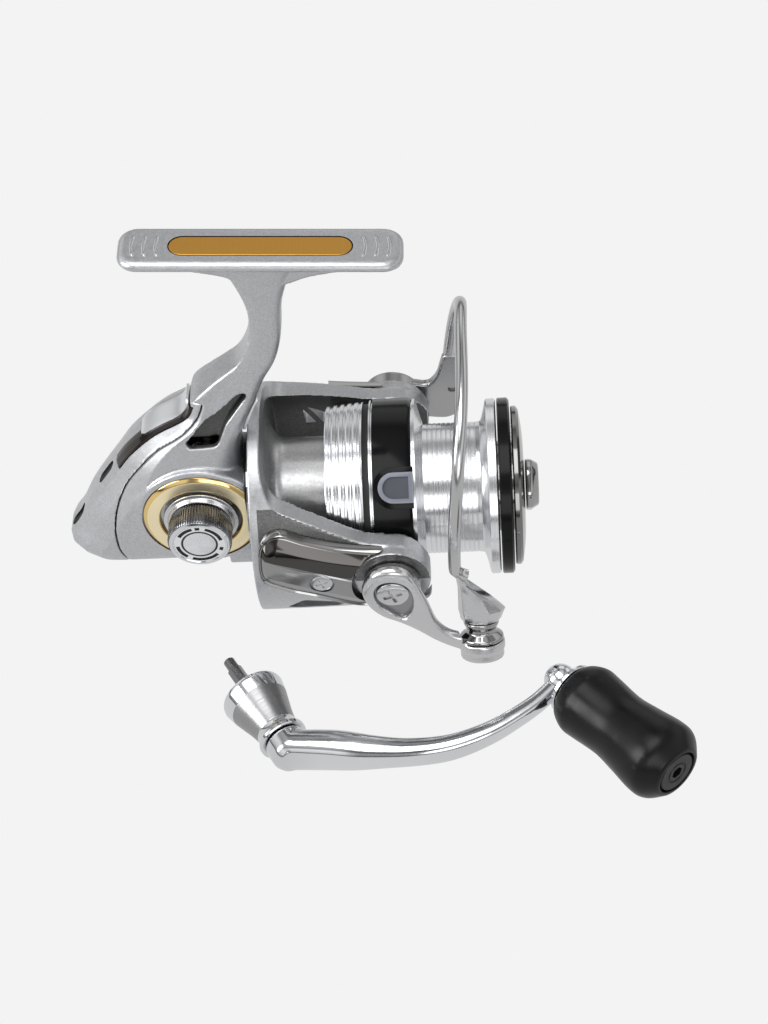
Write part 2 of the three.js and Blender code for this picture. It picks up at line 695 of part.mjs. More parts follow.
function bearingCollar() {
  const out = -nearFace - axleCap.collarDepth;
  const step = (axleCap.collar - axle.radius) / 4;
  const profile = [
    [axle.radius + gap, out + step], [axleCap.collar - step * 2, out], [axleCap.collar - step, out],
    [axleCap.collar - step, out + step], [axleCap.collar, out + step], [axleCap.collar, -nearFace],
    [axle.radius + gap, -nearFace],
  ];
  return at(turned(profile, fine), axleAt);
}

function dustCapSolid() {
  const from = -nearFace - axleCap.collarDepth - gap;
  const to = from - dustCap.length;
  const outline = toothed(dustCap.radius - dustCap.knurl, dustCap.radius, dustCap.knurls);
  const grip = plate(outline, to + dustCap.dish, from);
  const face = turned([
    [0, to + dustCap.dish], [dustCap.radius / 2, to + dustCap.dish], [dustCap.radius / 2 + dustCap.dish, to],
    [dustCap.radius - dustCap.dish * 2, to], [dustCap.radius - dustCap.dish, to + dustCap.dish + gap], [0,
      to + dustCap.dish + gap],
  ]);
  const stem = rod(dustCap.stem, from - gap, from + dustCap.stemLength, small);
  return at(join(grip, face, stem), axleAt);
}

// Rotor
function saddleOutline() {
  const back = -rotor.back - overrun;
  const rim = -rotor.back + rotor.plate;
  const upper = [
    [back, rotor.outer + overrun], [rim, rotor.outer + overrun], [rim, arm.base + overrun * 2],
    [rim + overrun, arm.base - overrun / 2], [arm.length / 2, (arm.base + arm.waist) / 2], [arm.length,
      arm.waist],
    [pivot.ahead, pivot.radius],
  ];
  const front = circle(pivot.radius, 24, [pivot.ahead, 0]).slice(1, 6).reverse();
  const frontLow = circle(pivot.radius, 24, [pivot.ahead, 0]).slice(19, 24).reverse();
  const lower = [
    [arm.lowerLength + overrun, -arm.lowerWaist + overrun], [arm.lowerLength - overrun, -arm.lowerWaist],
    [arm.lowerLength / 2, (-arm.lowerBase - arm.lowerWaist) / 2], [rim + overrun, -arm.lowerBase],
    [rim, -arm.base - overrun * 2], [rim, -rotor.outer - overrun], [back, -rotor.outer - overrun],
  ];
  return [...upper, ...front, [pivot.ahead + pivot.radius, 0], ...frontLow, [pivot.ahead, -pivot.radius],
    ...lower];
}

function armWindow() {
  const shares = [[0.15, -0.76], [0.37, -0.5], [0.8, -0.6], [0.86, -0.7], [0.78, -0.79], [0.3, -0.83]];
  const outline = shares.map(([x, z]) => [x * arm.lowerLength, z * arm.lowerBase]);
  return plate(outline, -rotor.outer - overrun, rotor.outer + overrun);
}

// The far arm is open on both sides of a slanting strut
const strutShares = [
  [[0.36, 0.36], [0.59, 0.18], [0.58, 0.02], [0.5, 0.02]],
  [[0.31, 0.3], [0.43, 0.02], [0.32, 0.02]],
];

function farWindows() {
  return strutShares.map((shares) => plate(
    shares.map(([x, z]) => [x * arm.length, z * arm.base]).reverse(), 0, rotor.outer + overrun,
  ));
}

function screwPlace(side) {
  return new THREE.Vector3(side < 0 ? smallScrew.ahead : smallScrew.farAhead, 0, smallScrew.up);
}

function rotorSolid() {
  const rim = -rotor.back + rotor.plate;
  const sides = common(
    ringX(rotor.outer, rotor.inner, -rotor.back, rotor.front, fine),
    plate(saddleOutline(), -rotor.outer - overrun, rotor.outer + overrun),
  );
  const blank = rodX(rotor.inner, rim - overrun, rotor.front + overrun, fine);
  const bosses = [-1, 1].map((side) => {
    const [from, to] = side < 0 ? [-pivot.face, -rotor.inner / 2] : [rotor.inner / 2, pivot.face];
    return cut(at(rod(pivot.radius - gap, from, to), pivotAt), blank);
  });
  const base = ringX(rotor.inner + gap, drum.inner, -rotor.back, rim, fine);
  const barrel = turnedX([
    [drum.inner, rim - gap], [drum.radius + drum.flare, rim - gap], [drum.radius + drum.flare / 3,
      rim + drum.flare / 3],
    [drum.radius, rim + drum.flare], [drum.radius, drum.front], [drum.inner - gap, drum.front],
    [drum.hub, drum.front], [drum.hub, drum.front - drum.cap], [drum.inner, drum.front - drum.cap],
  ], fine);
  const recess = ringX(rotor.recess, drum.inner - gap, -rotor.back - overrun,
    -rotor.back + rotor.recessDepth, fine);
  const screwHoles = [-1, 1].map((side) => {
    const [from, to] = side < 0 ? [-rotor.outer - overrun, -rotor.inner - gap] : [rotor.inner + gap,
      rotor.outer + overrun];
    return at(rod(smallScrew.shank + gap, from, to, small), screwPlace(side));
  });
  const pivotHoles = [-1, 1].map((side) => {
    const [from, to] = side < 0 ? [-pivot.face - overrun, -rotor.inner - gap] : [rotor.inner + gap,
      pivot.face + overrun];
    return at(rod(bailScrew.shank + gap, from, to, small), pivotAt);
  });
  const whole = join(sides, ...bosses, base, barrel);
  return cut(whole, recess, armWindow(), ...farWindows(), ...screwHoles, ...pivotHoles);
}

function rotorNutSolid() {
  const outline = circle(rotorNut.across, 6);
  const block = bar(outline, drum.front + gap, drum.front + gap + rotorNut.length);
  return cut(block, rodX(pinion.neck + gap, 0, pinion.front + overrun, round));
}

const coverShares = [
  [-0.041, 0.333], [-0.01, 0.42], [0.047, 0.463], [0.12, 0.47], [0.246, 0.417], [0.422, 0.36], [0.596, 0.327],
  [0.77, 0.307], [0.9, 0.253], [0.974, 0.143], [1, -0.017], [0.985, -0.227], [0.86, -0.31], [0.67, -0.327],
  [0.536, -0.333], [0.295, -0.17], [0.145, -0.087], [-0.013, 0.033], [-0.047, 0.143],
];

function armCoverSolid(side) {
  const outline = smoothLoop(coverShares.map(([x, z]) => [x * rotor.front, z * armCover.reach]), 44);
  const [from, to] = side < 0 ? [-armCover.outer - overrun, -rotor.inner / 2] : [rotor.inner / 2,
    armCover.outer + overrun];
  const shell = common(
    ringX(armCover.outer, armCover.inner, -rotor.back - overrun, rotor.front + overrun, fine),
    plate(outline, from, to),
  );
  const hole = at(rod(pivot.radius + gap, from - overrun, to + overrun), pivotAt);
  const place = screwPlace(side);
  const screwHole = at(rod(smallScrew.shank + gap, from - overrun, to + overrun, small), place);
  const seat = side < 0 ? [from,
    -armCover.outer + smallScrew.headDepth] : [armCover.outer - smallScrew.headDepth, to];
  const well = at(rod(smallScrew.head + gap, seat[0], seat[1], small), place);
  const cutters = [hole, screwHole, well];
  const behind = box(-rotor.back - overrun, farCoverBack, from, to, -armCover.reach, armCover.reach);
  if (side > 0) cutters.push(behind);
  return cut(shell, ...cutters);
}

function headedScrew(size, shankEnd, headUnder, headTop, segments = small) {
  const profile = [
    [0, shankEnd], [size.shank, shankEnd], [size.shank, headUnder], [size.head, headUnder], [size.head,
      headTop], [0, headTop],
  ];
  return turned(profile, segments);
}

function crossSlot(size, top, depth) {
  const long = size.head * 0.62;
  const narrow = size.head * 0.15;
  return [
    box(-long, long, top - depth, top + overrun, -narrow, narrow),
    box(-narrow, narrow, top - depth, top + overrun, -long, long),
  ];
}

function screwOn(size, side, shankEnd, headUnder, headTop, place) {
  const slots = crossSlot(size, headTop, size.headDepth * 0.6);
  const screw = cut(headedScrew(size, shankEnd, headUnder, headTop), ...slots);
  return at(side < 0 ? screw.rotateZ(Math.PI) : screw, place);
}

function armCoverScrew(side) {
  const top = armCover.outer - gap;
  const under = armCover.outer - smallScrew.headDepth + gap;
  return screwOn(smallScrew, side, under - smallScrew.length, under, top, screwPlace(side));
}

// Bail
const bailArmShares = [
  [0.317, 0.039], [0.405, -0.261], [0.478, -0.543], [0.58, -0.715], [0.698, -0.804], [0.873, -0.853],
  [1.02, -0.86], [1.06, -0.97], [1, -1.1], [0.86, -1.11], [0.66, -1.02], [0.449, -0.87], [0.249, -0.68],
  [0.044, -0.52], [-0.141, -0.405], [-0.288, -0.222], [-0.356, 0.03], [-0.268, 0.27], [-0.127, 0.385],
  [0.063, 0.4], [0.21, 0.295],
];

// The hollow around its pivot screw, longer towards the roller
const armWellShares = [
  [-0.21, 0.049], [-0.146, 0.187], [-0.02, 0.232], [0.112, 0.187], [0.2, 0.069],
  [0.229, -0.123], [0.19, -0.335], [0.093, -0.434], [-0.059, -0.306], [-0.176, -0.153],
];

function bailArmSolid() {
  const reach = roller.ahead - pivot.ahead;
  const spread = (shares, count) => smoothLoop(
    shares.map(([x, z]) => [pivot.ahead + x * reach, z * roller.down * 1.12]),
    count,
  );
  const lever = plate(spread(bailArmShares, 48), -bail.outer, -bail.inner);
  const disc = at(rod(bail.disc, -bail.outer, -pivot.face - gap), pivotAt);
  const underside = rollerAt.clone().addScaledVector(rollerAxis, -roller.halfLength - gap);
  const tip = onRollerAxis(rod(roller.rim + gap, -bail.tip, 0), underside);
  const web = onRollerAxis(rod(roller.rim, -bail.tip * 2, -bail.tip + gap), underside);
  const well = plate(spread(armWellShares, 24), -bail.outer - overrun, -bail.outer + bail.wellDepth);
  const hole = at(rod(bailScrew.shank + gap, -bail.outer - overrun, 0, small), pivotAt);
  const pinHole = onRollerAxis(rod(rollerPin.radius + gap, -overrun * 4, overrun, small), underside);
  const room = onRollerAxis(rod(roller.rim + gap * 2, gap, roller.halfLength * 4), underside);
  return cut(join(cut(lever, room), disc, tip, web), well, hole, pinHole);
}

function onRollerAxis(geometry, place) {
  const turn = new THREE.Quaternion().setFromUnitVectors(new THREE.Vector3(0, 1, 0), rollerAxis);
  return geometry.applyQuaternion(turn).translate(place.x, place.y, place.z);
}

function lineRoller() {
  const h = roller.halfLength;
  const profile = [
    [roller.bore, -h], [roller.rim, -h], [roller.rim, -h * 0.75], [roller.radius * 0.86, -h * 0.2],
    [roller.radius * 0.86, h * 0.2], [roller.radius, h * 0.75], [roller.radius, h], [roller.bore, h],
  ];
  return onRollerAxis(turned(profile), rollerAt);
}

function rollerPinSolid() {
  const h = roller.halfLength;
  return onRollerAxis(rod(rollerPin.radius, -h - rollerPin.depth, h - gap, small), rollerAt);
}

// The cone's rings: back, up and inward, then width and depth, as shares of its sizes, and the lean in
// degrees
const coneShares = [
  [0, 0, 0, 0.86, 0.8, 0], [-0.06, 0.22, 0.33, 1, 0.8, 0], [0.2, 0.55, 1, 0.86, 0.62, 30],
  [0.8, 0.86, 1, 0.5, 0.49, 53], [1, 1, 0.67, 0.42, 0.44, 53],
];

function bailConeSolid() {
  const base = rollerAt.clone().addScaledVector(rollerAxis, roller.halfLength + gap);
  const inward = new THREE.Vector3(0, 1, -0.4).normalize();
  const rings = coneShares.map(([back, up, shift, width, depth, lean]) => {
    const turn = THREE.MathUtils.degToRad(lean);
    const across = new THREE.Vector3(Math.cos(turn), 0, -Math.sin(turn));
    const place = new THREE.Vector3(-back * cone.back, shift * cone.inward, up * cone.rise);
    return oval(
      base.clone().add(place),
      across.multiplyScalar(width * cone.belly),
      inward.clone().multiplyScalar(depth * cone.base),
      14,
    );
  });
  return skin(rings);
}

// The bail wire's route over the spool, from the cone to the far lever: ahead, across and up, as shares of
// its sizes
const wireShares = [
  [0.919, -0.901, 0.072], [0.921, -0.913, 0.317], [0.95, -0.832, 0.633], [0.967, -0.683, 0.824], [0.99,
    -0.404, 0.95],
  [0.996, -0.062, 0.995], [0.994, 0.28, 1], [0.998, 0.528, 0.982], [1, 0.776, 0.905], [0.977, 0.932, 0.747],
  [0.948, 0.988, 0.566], [0.923, 1, 0.345],
];

function bailWireSolid() {
  const points = wireShares.map(([x, y, z]) => new THREE.Vector3(x * wire.ahead, y * wire.side,
    z * wire.rise));
  return tube(points, wire.radius, 8, 36);
}

const leverShares = [
  [0.22, 0.32], [0.56, 0.33], [0.66, 0.38], [0.77, 0.56], [0.85, 0.87], [0.9, 1.01], [1.03, 1.06],
  [1.14, 1], [1.19, 0.58], [1.19, 0], [1.13, -0.36], [0.93, -0.54], [0.56, -0.51], [0.1, -0.43],
];

function farLever() {
  const [x, , z] = wireShares[wireShares.length - 1];
  const reach = x * wire.ahead - pivot.ahead;
  const rise = z * wire.rise - gap;
  const outline = smoothLoop(leverShares.map(([along, up]) => [pivot.ahead + along * reach,
    up * rise * 0.94]), 36);
  const lever = plate(outline, bail.inner, bail.outer);
  const disc = at(rod(bail.disc, pivot.face + gap, bail.outer), pivotAt);
  const hole = at(rod(bailScrew.shank + gap, 0, bail.outer + overrun, small), pivotAt);
  const well = at(rod(bail.well, bail.outer - bail.wellDepth, bail.outer + overrun), pivotAt);
  return cut(join(lever, disc), hole, well);
}

function bailPivotScrew(side) {
  const under = bail.outer - bail.wellDepth + gap;
  return screwOn(bailScrew, side, pivot.face - bailScrew.depth + gap, under, under + bailScrew.headDepth,
    pivotAt);
}

// Spool and drag
function spoolProfile() {
  const points = [[spool.inner, spool.back]];
  const step = (skirtRib.front - spool.back) / skirtRib.count;
  for (let i = 0; i < skirtRib.count; i += 1) {
    const x = spool.back + step * i;
    const radius = spool.skirt + ((spool.swell - spool.skirt) * i) / skirtRib.count;
    points.push([radius, x + step * 0.3], [radius - skirtRib.depth, x + step * 0.9]);
  }
  const seat = band.radius - band.thickness - gap;
  points.push([spool.swell - skirtRib.depth, skirtRib.front], [seat, spool.band - gap], [seat,
    spool.bandEnd + gap]);
  points.push([band.radius - band.thickness / 2, spool.bandEnd + gap], [band.radius - band.thickness / 2,
    spool.bandEnd + gap * 3]);
  points.push([spool.arbor, arbor.back]);
  points.push([spool.arbor + gap, arbor.front], [lip.radius - gap * 2, lip.back - gap], [lip.radius,
    lip.back], [lip.radius, lip.front - gap]);
  points.push([lip.radius - gap, lip.front], [dragWell.radius, lip.front], [dragWell.radius, wellBack],
    [web.bore, wellBack]);
  points.push([web.bore, web.hubBack], [web.hub, web.hubBack], [web.hub, web.hollow], [web.hollowRadius,
    web.hollow]);
  points.push([web.hollowRadius, web.back + gap], [spool.inner, web.back]);
  return points;
}

function spoolSolid() {
  return turnedX(spoolProfile(), fine);
}

function spoolBand() {
  return ringX(band.radius, band.radius - band.thickness, spool.band, spool.bandEnd, fine);
}

function lineClip() {
  const half = clip.width / 2;
  const nose = Array.from({ length: 9 }, (_, i) => {
    const turn = Math.PI / 2 + (i / 8) * Math.PI;
    return [clip.ahead - clip.length / 2 + half + half * Math.cos(turn), half * Math.sin(turn)];
  });
  const tail = clip.ahead + clip.length / 2;
  const tab = slab([[tail, -half], [tail, half], ...nose].reverse(), band.radius + gap,
    band.radius + gap + clip.thickness);
  return tab;
}

function lipRingSolid() {
  const profile = [
    [lipRing.inner, lipRingBack], [lipRing.radius, lipRingBack], [lipRing.radius, lipRingFront - gap],
    [lipRing.radius - gap, lipRingFront], [lipRing.inner, lipRingFront],
  ];
  return turnedX(profile, fine);
}

function dragWasher(i) {
  const from = washerBack + i * (washer.thickness + gap);
  return ringX(washer.radius, washer.inner, from, from + washer.thickness);
}

function clickRatchet() {
  const outline = toothed(ratchet.radius - ratchet.tooth, ratchet.radius, ratchet.teeth);
  return cut(bar(outline, ratchet.ahead, ratchet.ahead + ratchet.thickness), rodX(shaft.radius + gap, 0,
    shaftFront, round));
}

function dragKnobSolid() {
  const profile = [
    [0, shaftFront + gap], [shaft.radius + gap, shaftFront + gap], [shaft.radius + gap,
      knobBack - dragKnob.stemLength],
    [dragKnob.stem, knobBack - dragKnob.stemLength], [dragKnob.stem, knobBack], [dragKnob.radius, knobBack],
    [dragKnob.radius, knobFront - gap], [dragKnob.radius - gap * 2, knobFront],
    [dragKnob.radius * 0.7, knobCrown - gap], [dragKnob.radius * 0.5, knobCrown], [0, knobCrown],
  ];
  return turnedX(profile, fine);
}

const gripShares = [
  [-1, -0.5], [-0.75, -0.92], [0, -1], [0.75, -0.92], [1, -0.5],
  [1, 0.5], [0.75, 0.92], [0, 1], [-0.75, 0.92], [-1, 0.5],
];

function dragGrip() {
  const from = knobCrown + gap;
  const to = from + grip.height;
  const mid = from + grip.height * 0.55;
  const half = (share, x) => gripShares.map(([along, across]) => new THREE.Vector3(
    x,
    across * (grip.width / 2) * share,
    along * (grip.length / 2) * share,
  ));
  const whole = skin([half(1, from), half(0.94, mid), half(grip.taper, to)]);
  return whole.rotateX(THREE.MathUtils.degToRad(42));
}

// Handle
function crankPoints() {
  const shares = [[0, 0], [0.28, 0.13], [0.55, 0.24], [0.83, 0.37], [1.03, 0.5], [1.12, 0.64], [1.13, 0.76],
    [1.1, 0.88], [1, 1]];
  return shares.map(([along, out]) => new THREE.Vector3(along * crank.offset, out * crank.reach, 0));
}

function knobPlace() {
  return new THREE.Vector3(crank.offset, crank.reach, 0);
}

function knobTurn() {
  return new THREE.Quaternion().setFromAxisAngle(new THREE.Vector3(0, 0, 1), knobTilt);
}

function onKnob(geometry) {
  const place = knobPlace();
  return geometry.applyQuaternion(knobTurn()).translate(place.x, place.y, place.z);
}

function handleArm() {
  const side = new THREE.Vector3(0, 0, 1);
  const widths = [crank.boss, crank.thick * 1.4, crank.thick * 1.02, crank.thick * 0.95, crank.slim * 1.25,
    crank.slim * 1.1, crank.slim];
  const heights = [crank.boss * 0.75, crank.thick * 1.25, crank.thick * 0.95, crank.thick * 0.8,
    crank.slim * 1.1, crank.slim, crank.slim];
  const bow = limb(crankPoints(), widths, heights, side, 12);
  const boss = turnedX([
    [0, -crank.bossDepth / 2], [crank.boss, -crank.bossDepth / 2], [crank.boss, crank.bossDepth / 5],
    [crank.boss * 0.8, crank.bossDepth / 2], [0, crank.bossDepth / 2],
  ]);
  const ball = onKnob(turnedX([
    [0, -crank.ball], [crank.ball * 0.6, -crank.ball * 0.8], [crank.ball, 0], [crank.ball, crank.ball * 0.6],
    [0, crank.ball * 0.6],
  ], 20));
  return join(boss, bow, ball);
}

function handleCollar() {
  const near = -crank.bossDepth / 2 - gap;
  const far = -collar.back;
  const long = near - far;
  const profile = [
    [collar.bore, far + collar.lip * 2], [collar.rim - collar.lip, far + collar.lip],
      [collar.rim - collar.lip / 2, far],
    [collar.rim, far + collar.lip], [collar.rim * 0.92, far + long * 0.25], [collar.waist * 1.12,
      far + long * 0.6],
    [collar.waist, far + long * 0.8], [collar.base, near - collar.lip], [collar.base * 0.95, near],
      [collar.bore, near],
  ];
  return turnedX(profile, fine);
}

function handleShaft() {
  const from = -crank.bossDepth / 2 - gap;
  const outline = circle(stub.radius, 6);
  const stem = bar(outline, -stub.length + stub.tipLength, from);
  return join(stem, rodX(stub.tip, -stub.length, -stub.length + stub.tipLength + gap, small));
}

function knobWasherSolid() {
  const from = knobSeat();
  return onKnob(ringX(knobWasher.radius, spindle.radius + gap, from, from + knobWasher.thickness, round));
}

function knobSpindle() {
  const from = knobSeat();
  return onKnob(rodX(spindle.radius, from, from + spindle.length, small));
}

function knobSeat() {
  return crank.ball * 0.8 + gap;
}

function knobStart() {
  return knobSeat() + knobWasher.thickness + gap;
}

function knobSolid() {
  const from = knobStart();
  const to = from + knob.length;
  const profile = [
    [knob.bore, from], [knob.back * 0.8, from], [knob.back, from + knob.length * 0.03],
    [knob.swell, from + knob.length * 0.12], [knob.swell * 0.99, from + knob.length * 0.22],
    [knob.waist, from + knob.length * 0.43], [knob.swell, from + knob.length * 0.6],
    [knob.front, from + knob.length * 0.8], [knob.front * 0.95, from + knob.length * 0.9],
    [knob.cap * 1.3, to - gap],
    [knob.cap + gap * 2, to], [knob.cap + gap, to - knob.capDepth], [knob.bore, to - knob.capDepth],
  ];
  return onKnob(turnedX(profile, fine));
}

function knobCap() {
  const to = knobStart() + knob.length;
  const from = to - knob.capDepth + gap;
  const disc = rodX(knob.cap, from, to, round);
  const socket = bar(circle(capSocket.across, 6), to - capSocket.depth, to + overrun);
  return onKnob(cut(disc, socket));
}

// Finishes
function finish(color, roughness, metalness) {
  return new THREE.MeshStandardMaterial({ color, roughness, metalness });
}

const satin = finish(0xa9acb2, 0.42, 0.7);
const darkSatin = finish(0x6a6c70, 0.4, 0.8);
const polished = finish(0xd4d6da, 0.14, 1);
const chrome = finish(0xbfc2c6, 0.08, 1);
const gold = finish(0xd9b25a, 0.22, 1);
const amber = finish(0xd9962e, 0.45, 0.7);
const gloss = finish(0x121214, 0.12, 0.3);
const steel = finish(0x9a9ca0, 0.3, 1);
const brass = finish(0xb08d4c, 0.35, 0.9);
const felt = finish(0x3a3a3c, 0.95, 0);
const rubber = finish(0x1b1b1d, 0.6, 0);

// Assembly
const reel = new THREE.Group();
const drive = new THREE.Group();
drive.rotation.y = -driveTilt;
drive.position.z = -foot.drop;
const handle = new THREE.Group();
const handleSide = new THREE.Vector3().crossVectors(handleAxis, handleReach).normalize();
const reachSquare = new THREE.Vector3().crossVectors(handleSide, handleAxis).normalize();
handle.quaternion.setFromRotationMatrix(new THREE.Matrix4().makeBasis(handleAxis.clone().normalize(),
  reachSquare, handleSide));
handle.position.copy(handlePlace);
reel.add(drive, handle);

function add(group, name, geometry, material) {
  const mesh = new THREE.Mesh(closed(geometry), material);
  mesh.name = name;
  group.add(mesh);
}

add(reel, 'body_housing', bodyHousing(), satin);
add(reel, 'foot_label', footLabelRecess(0), amber);
add(drive, 'side_cover', sideCoverPlate(), satin);
coverScrewPlaces().forEach((place, i) => add(drive, `side_screw_${i + 1}`, coverScrewSolid(place), steel));
add(drive, 'rear_cover', rearCover(), satin);
add(drive, 'rear_strip', rearStrip(), gloss);
add(drive, 'gold_ring', goldRing(), gold);
add(drive, 'bearing_collar', bearingCollar(), satin);
add(drive, 'dust_cap', dustCapSolid(), polished);
add(drive, 'drive_shaft', driveShaft(), steel);
add(drive, 'drive_gear', driveGearSolid(), brass);
add(drive, 'drive_bearing_near', ballBearing(-nearFace + gap, -nearFace + bearing.width), steel);
add(drive, 'drive_bearing_far', ballBearing(coverSeat + gap, coverSeat + bearing.width - gap), steel);
add(drive, 'pinion_gear', pinionGear(), brass);
add(drive, 'pinion_bearing', pinionBearingSolid(), steel);
add(drive, 'one_way_clutch', clutchHousing(), darkSatin);
add(drive, 'seal_ring', sealRingSolid(), chrome);
add(drive, 'oscillation_pinion', wiperPinion(), brass);
add(drive, 'oscillation_gear', oscillationGear(), brass);
add(drive, 'oscillation_axle', oscillationAxle(), steel);
add(drive, 'slider_block', sliderBlock(), brass);
add(drive, 'guide_rod', guideRod(), steel);
add(drive, 'main_shaft', mainShaft(), steel);
add(drive, 'rotor', rotorSolid(), satin);
add(drive, 'rotor_nut', rotorNutSolid(), steel);
add(drive, 'arm_cover_near', armCoverSolid(-1), chrome);
add(drive, 'arm_cover_far', armCoverSolid(1), chrome);
add(drive, 'cover_screw_near', armCoverScrew(-1), steel);
add(drive, 'cover_screw_far', armCoverScrew(1), steel);
add(drive, 'bail_arm', bailArmSolid(), darkSatin);
add(drive, 'line_roller', lineRoller(), polished);
add(drive, 'roller_pin', rollerPinSolid(), steel);
add(drive, 'bail_cone', bailConeSolid(), chrome);
add(drive, 'bail_wire', bailWireSolid(), steel);
add(drive, 'bail_lever', farLever(), satin);
add(drive, 'bail_screw_near', bailPivotScrew(-1), steel);
add(drive, 'bail_screw_far', bailPivotScrew(1), steel);
add(drive, 'spool', spoolSolid(), polished);
add(drive, 'spool_band', spoolBand(), gloss);
const clipGroup = new THREE.Group();
clipGroup.rotation.x = THREE.MathUtils.degToRad(42);
drive.add(clipGroup);
add(clipGroup, 'line_clip', lineClip(), darkSatin);
add(drive, 'lip_ring', lipRingSolid(), gloss);
for (let i = 0; i < washer.count; i += 1) add(drive, `drag_washer_${i + 1}`, dragWasher(i), felt);
add(drive, 'click_ratchet', clickRatchet(), steel);
add(drive, 'drag_knob', dragKnobSolid(), chrome);
add(drive, 'drag_grip', dragGrip(), chrome);
add(handle, 'handle_arm', handleArm(), chrome);
add(handle, 'handle_collar', handleCollar(), chrome);
add(handle, 'handle_shaft', handleShaft(), steel);
add(handle, 'knob_washer', knobWasherSolid(), chrome);
add(handle, 'knob_spindle', knobSpindle(), steel);
add(handle, 'handle_knob', knobSolid(), rubber);
add(handle, 'knob_cap', knobCap(), rubber);

export default reel;
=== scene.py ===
from math import copysign, cos, hypot, pi, radians, sin, sqrt, tau
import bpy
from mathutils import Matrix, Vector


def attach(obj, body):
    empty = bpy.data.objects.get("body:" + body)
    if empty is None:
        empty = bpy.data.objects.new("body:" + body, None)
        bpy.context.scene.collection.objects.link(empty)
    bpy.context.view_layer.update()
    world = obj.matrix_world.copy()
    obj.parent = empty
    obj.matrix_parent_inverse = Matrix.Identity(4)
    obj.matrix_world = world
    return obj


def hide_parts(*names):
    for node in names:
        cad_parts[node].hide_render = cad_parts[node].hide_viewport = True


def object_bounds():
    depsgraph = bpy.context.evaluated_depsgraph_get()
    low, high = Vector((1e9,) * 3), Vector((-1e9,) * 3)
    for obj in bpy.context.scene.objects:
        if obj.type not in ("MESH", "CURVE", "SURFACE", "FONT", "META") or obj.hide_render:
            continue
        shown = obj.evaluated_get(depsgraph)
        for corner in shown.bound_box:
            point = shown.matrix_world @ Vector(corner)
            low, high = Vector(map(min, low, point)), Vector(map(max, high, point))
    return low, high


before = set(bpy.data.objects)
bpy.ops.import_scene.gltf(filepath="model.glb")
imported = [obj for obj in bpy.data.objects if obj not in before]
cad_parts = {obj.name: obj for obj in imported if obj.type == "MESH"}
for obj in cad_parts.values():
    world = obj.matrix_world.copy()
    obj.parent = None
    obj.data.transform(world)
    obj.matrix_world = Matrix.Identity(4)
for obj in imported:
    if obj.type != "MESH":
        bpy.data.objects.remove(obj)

from types import SimpleNamespace as Sizes

import bmesh
import bpy
from mathutils import Matrix, Vector

CAD_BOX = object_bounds()

# Lengths are millimetres until place() brings a piece to metres in the frame of the CAD model
METRES = 0.001
TURNS = 128
TILT = radians(3.5)
CLIP_TURN = radians(42)
SCREW_TURN = radians(20)

# Foot and housing
FOOT = Sizes(length=63.6, width=13.4, edge=2.3, corner=4.6, drop=81, soft=1.5)
LABEL = Sizes(length=40.6, width=6, depth=0.5, gap=0.3)
RIDGE = Sizes(count=3, first=22.5, step=2.7, half=3.9, bow=0.8, radius=0.65, sink=0.4)
FAIRING = Sizes(length=54, depth=4.4, width=7.6)
BODY = Sizes(reach=51, rise=68, half=12.3, front=5, wall=1.8, seam=0.3, spine=5, taper=8)
FLANGE = Sizes(radius=16.2, length=6, wall=7, bore=6.5)
SIDE = Sizes(seat=3.2, top=27, well=2.6)
AXLE = Sizes(back=16.2, up=6.5, seat=6.9, seat_depth=3.7, way=4.3)
CAP_RING = Sizes(outer=14, hole=9.8, depth=1.1, rim=1.3, rim_rise=0.5, root=7, ease=0.9)
COLLAR = Sizes(radius=9, bore=4, depth=2.4, ledge=1)
CAP = Sizes(radius=7.7, length=6.4, teeth=72, tooth=0.28, dish=0.5, stem=1.8, stem_length=8)
CAP_ARCS = Sizes(inner=4.9, outer=5.8, disc=3.9,
                 spans=[(12, 70), (84, 96), (104, 150), (186, 232), (246, 318), (334, 346)])

# Rotor, bail and roller
ROTOR = Sizes(back=3.4, plate=2.9, inner=24.2, outer=28, front=38.6, recess=18.4, sunk=1.4)
DRUM = Sizes(radius=14, inner=12.2, front=24, cap=3, hub=3.7, flare=5.5, soft=0.8)
ARM = Sizes(base=19, waist=9.5, length=24, low_base=18.6, low_waist=16.4, low_length=20, step=2)
PIVOT = Sizes(ahead=29.5, radius=9.4, face=29.2)
COVER = Sizes(inner=28.3, outer=31, reach=30)
COVER_SCREW = Sizes(ahead=12.8, far_ahead=17.4, up=1.3, head=2.6, depth=0.7, well=1.4, shank=1.1, end=4)
BAIL = Sizes(inner=31.4, outer=34.3, disc=7.3, well=5, well_depth=1.2, pin_way=2.2)
BAIL_SCREW = Sizes(head=3.9, depth=1, shank=1.9)
ROLLER = Sizes(ahead=50, out=30, down=18.1, radius=4.3, rim=5.3, half=2.4, bore=1.9, soft=0.35)
ROLLER_LEAN = radians(65)
WIRE = Sizes(radius=1.5, ahead=48.3, side=32.2, rise=43.5)

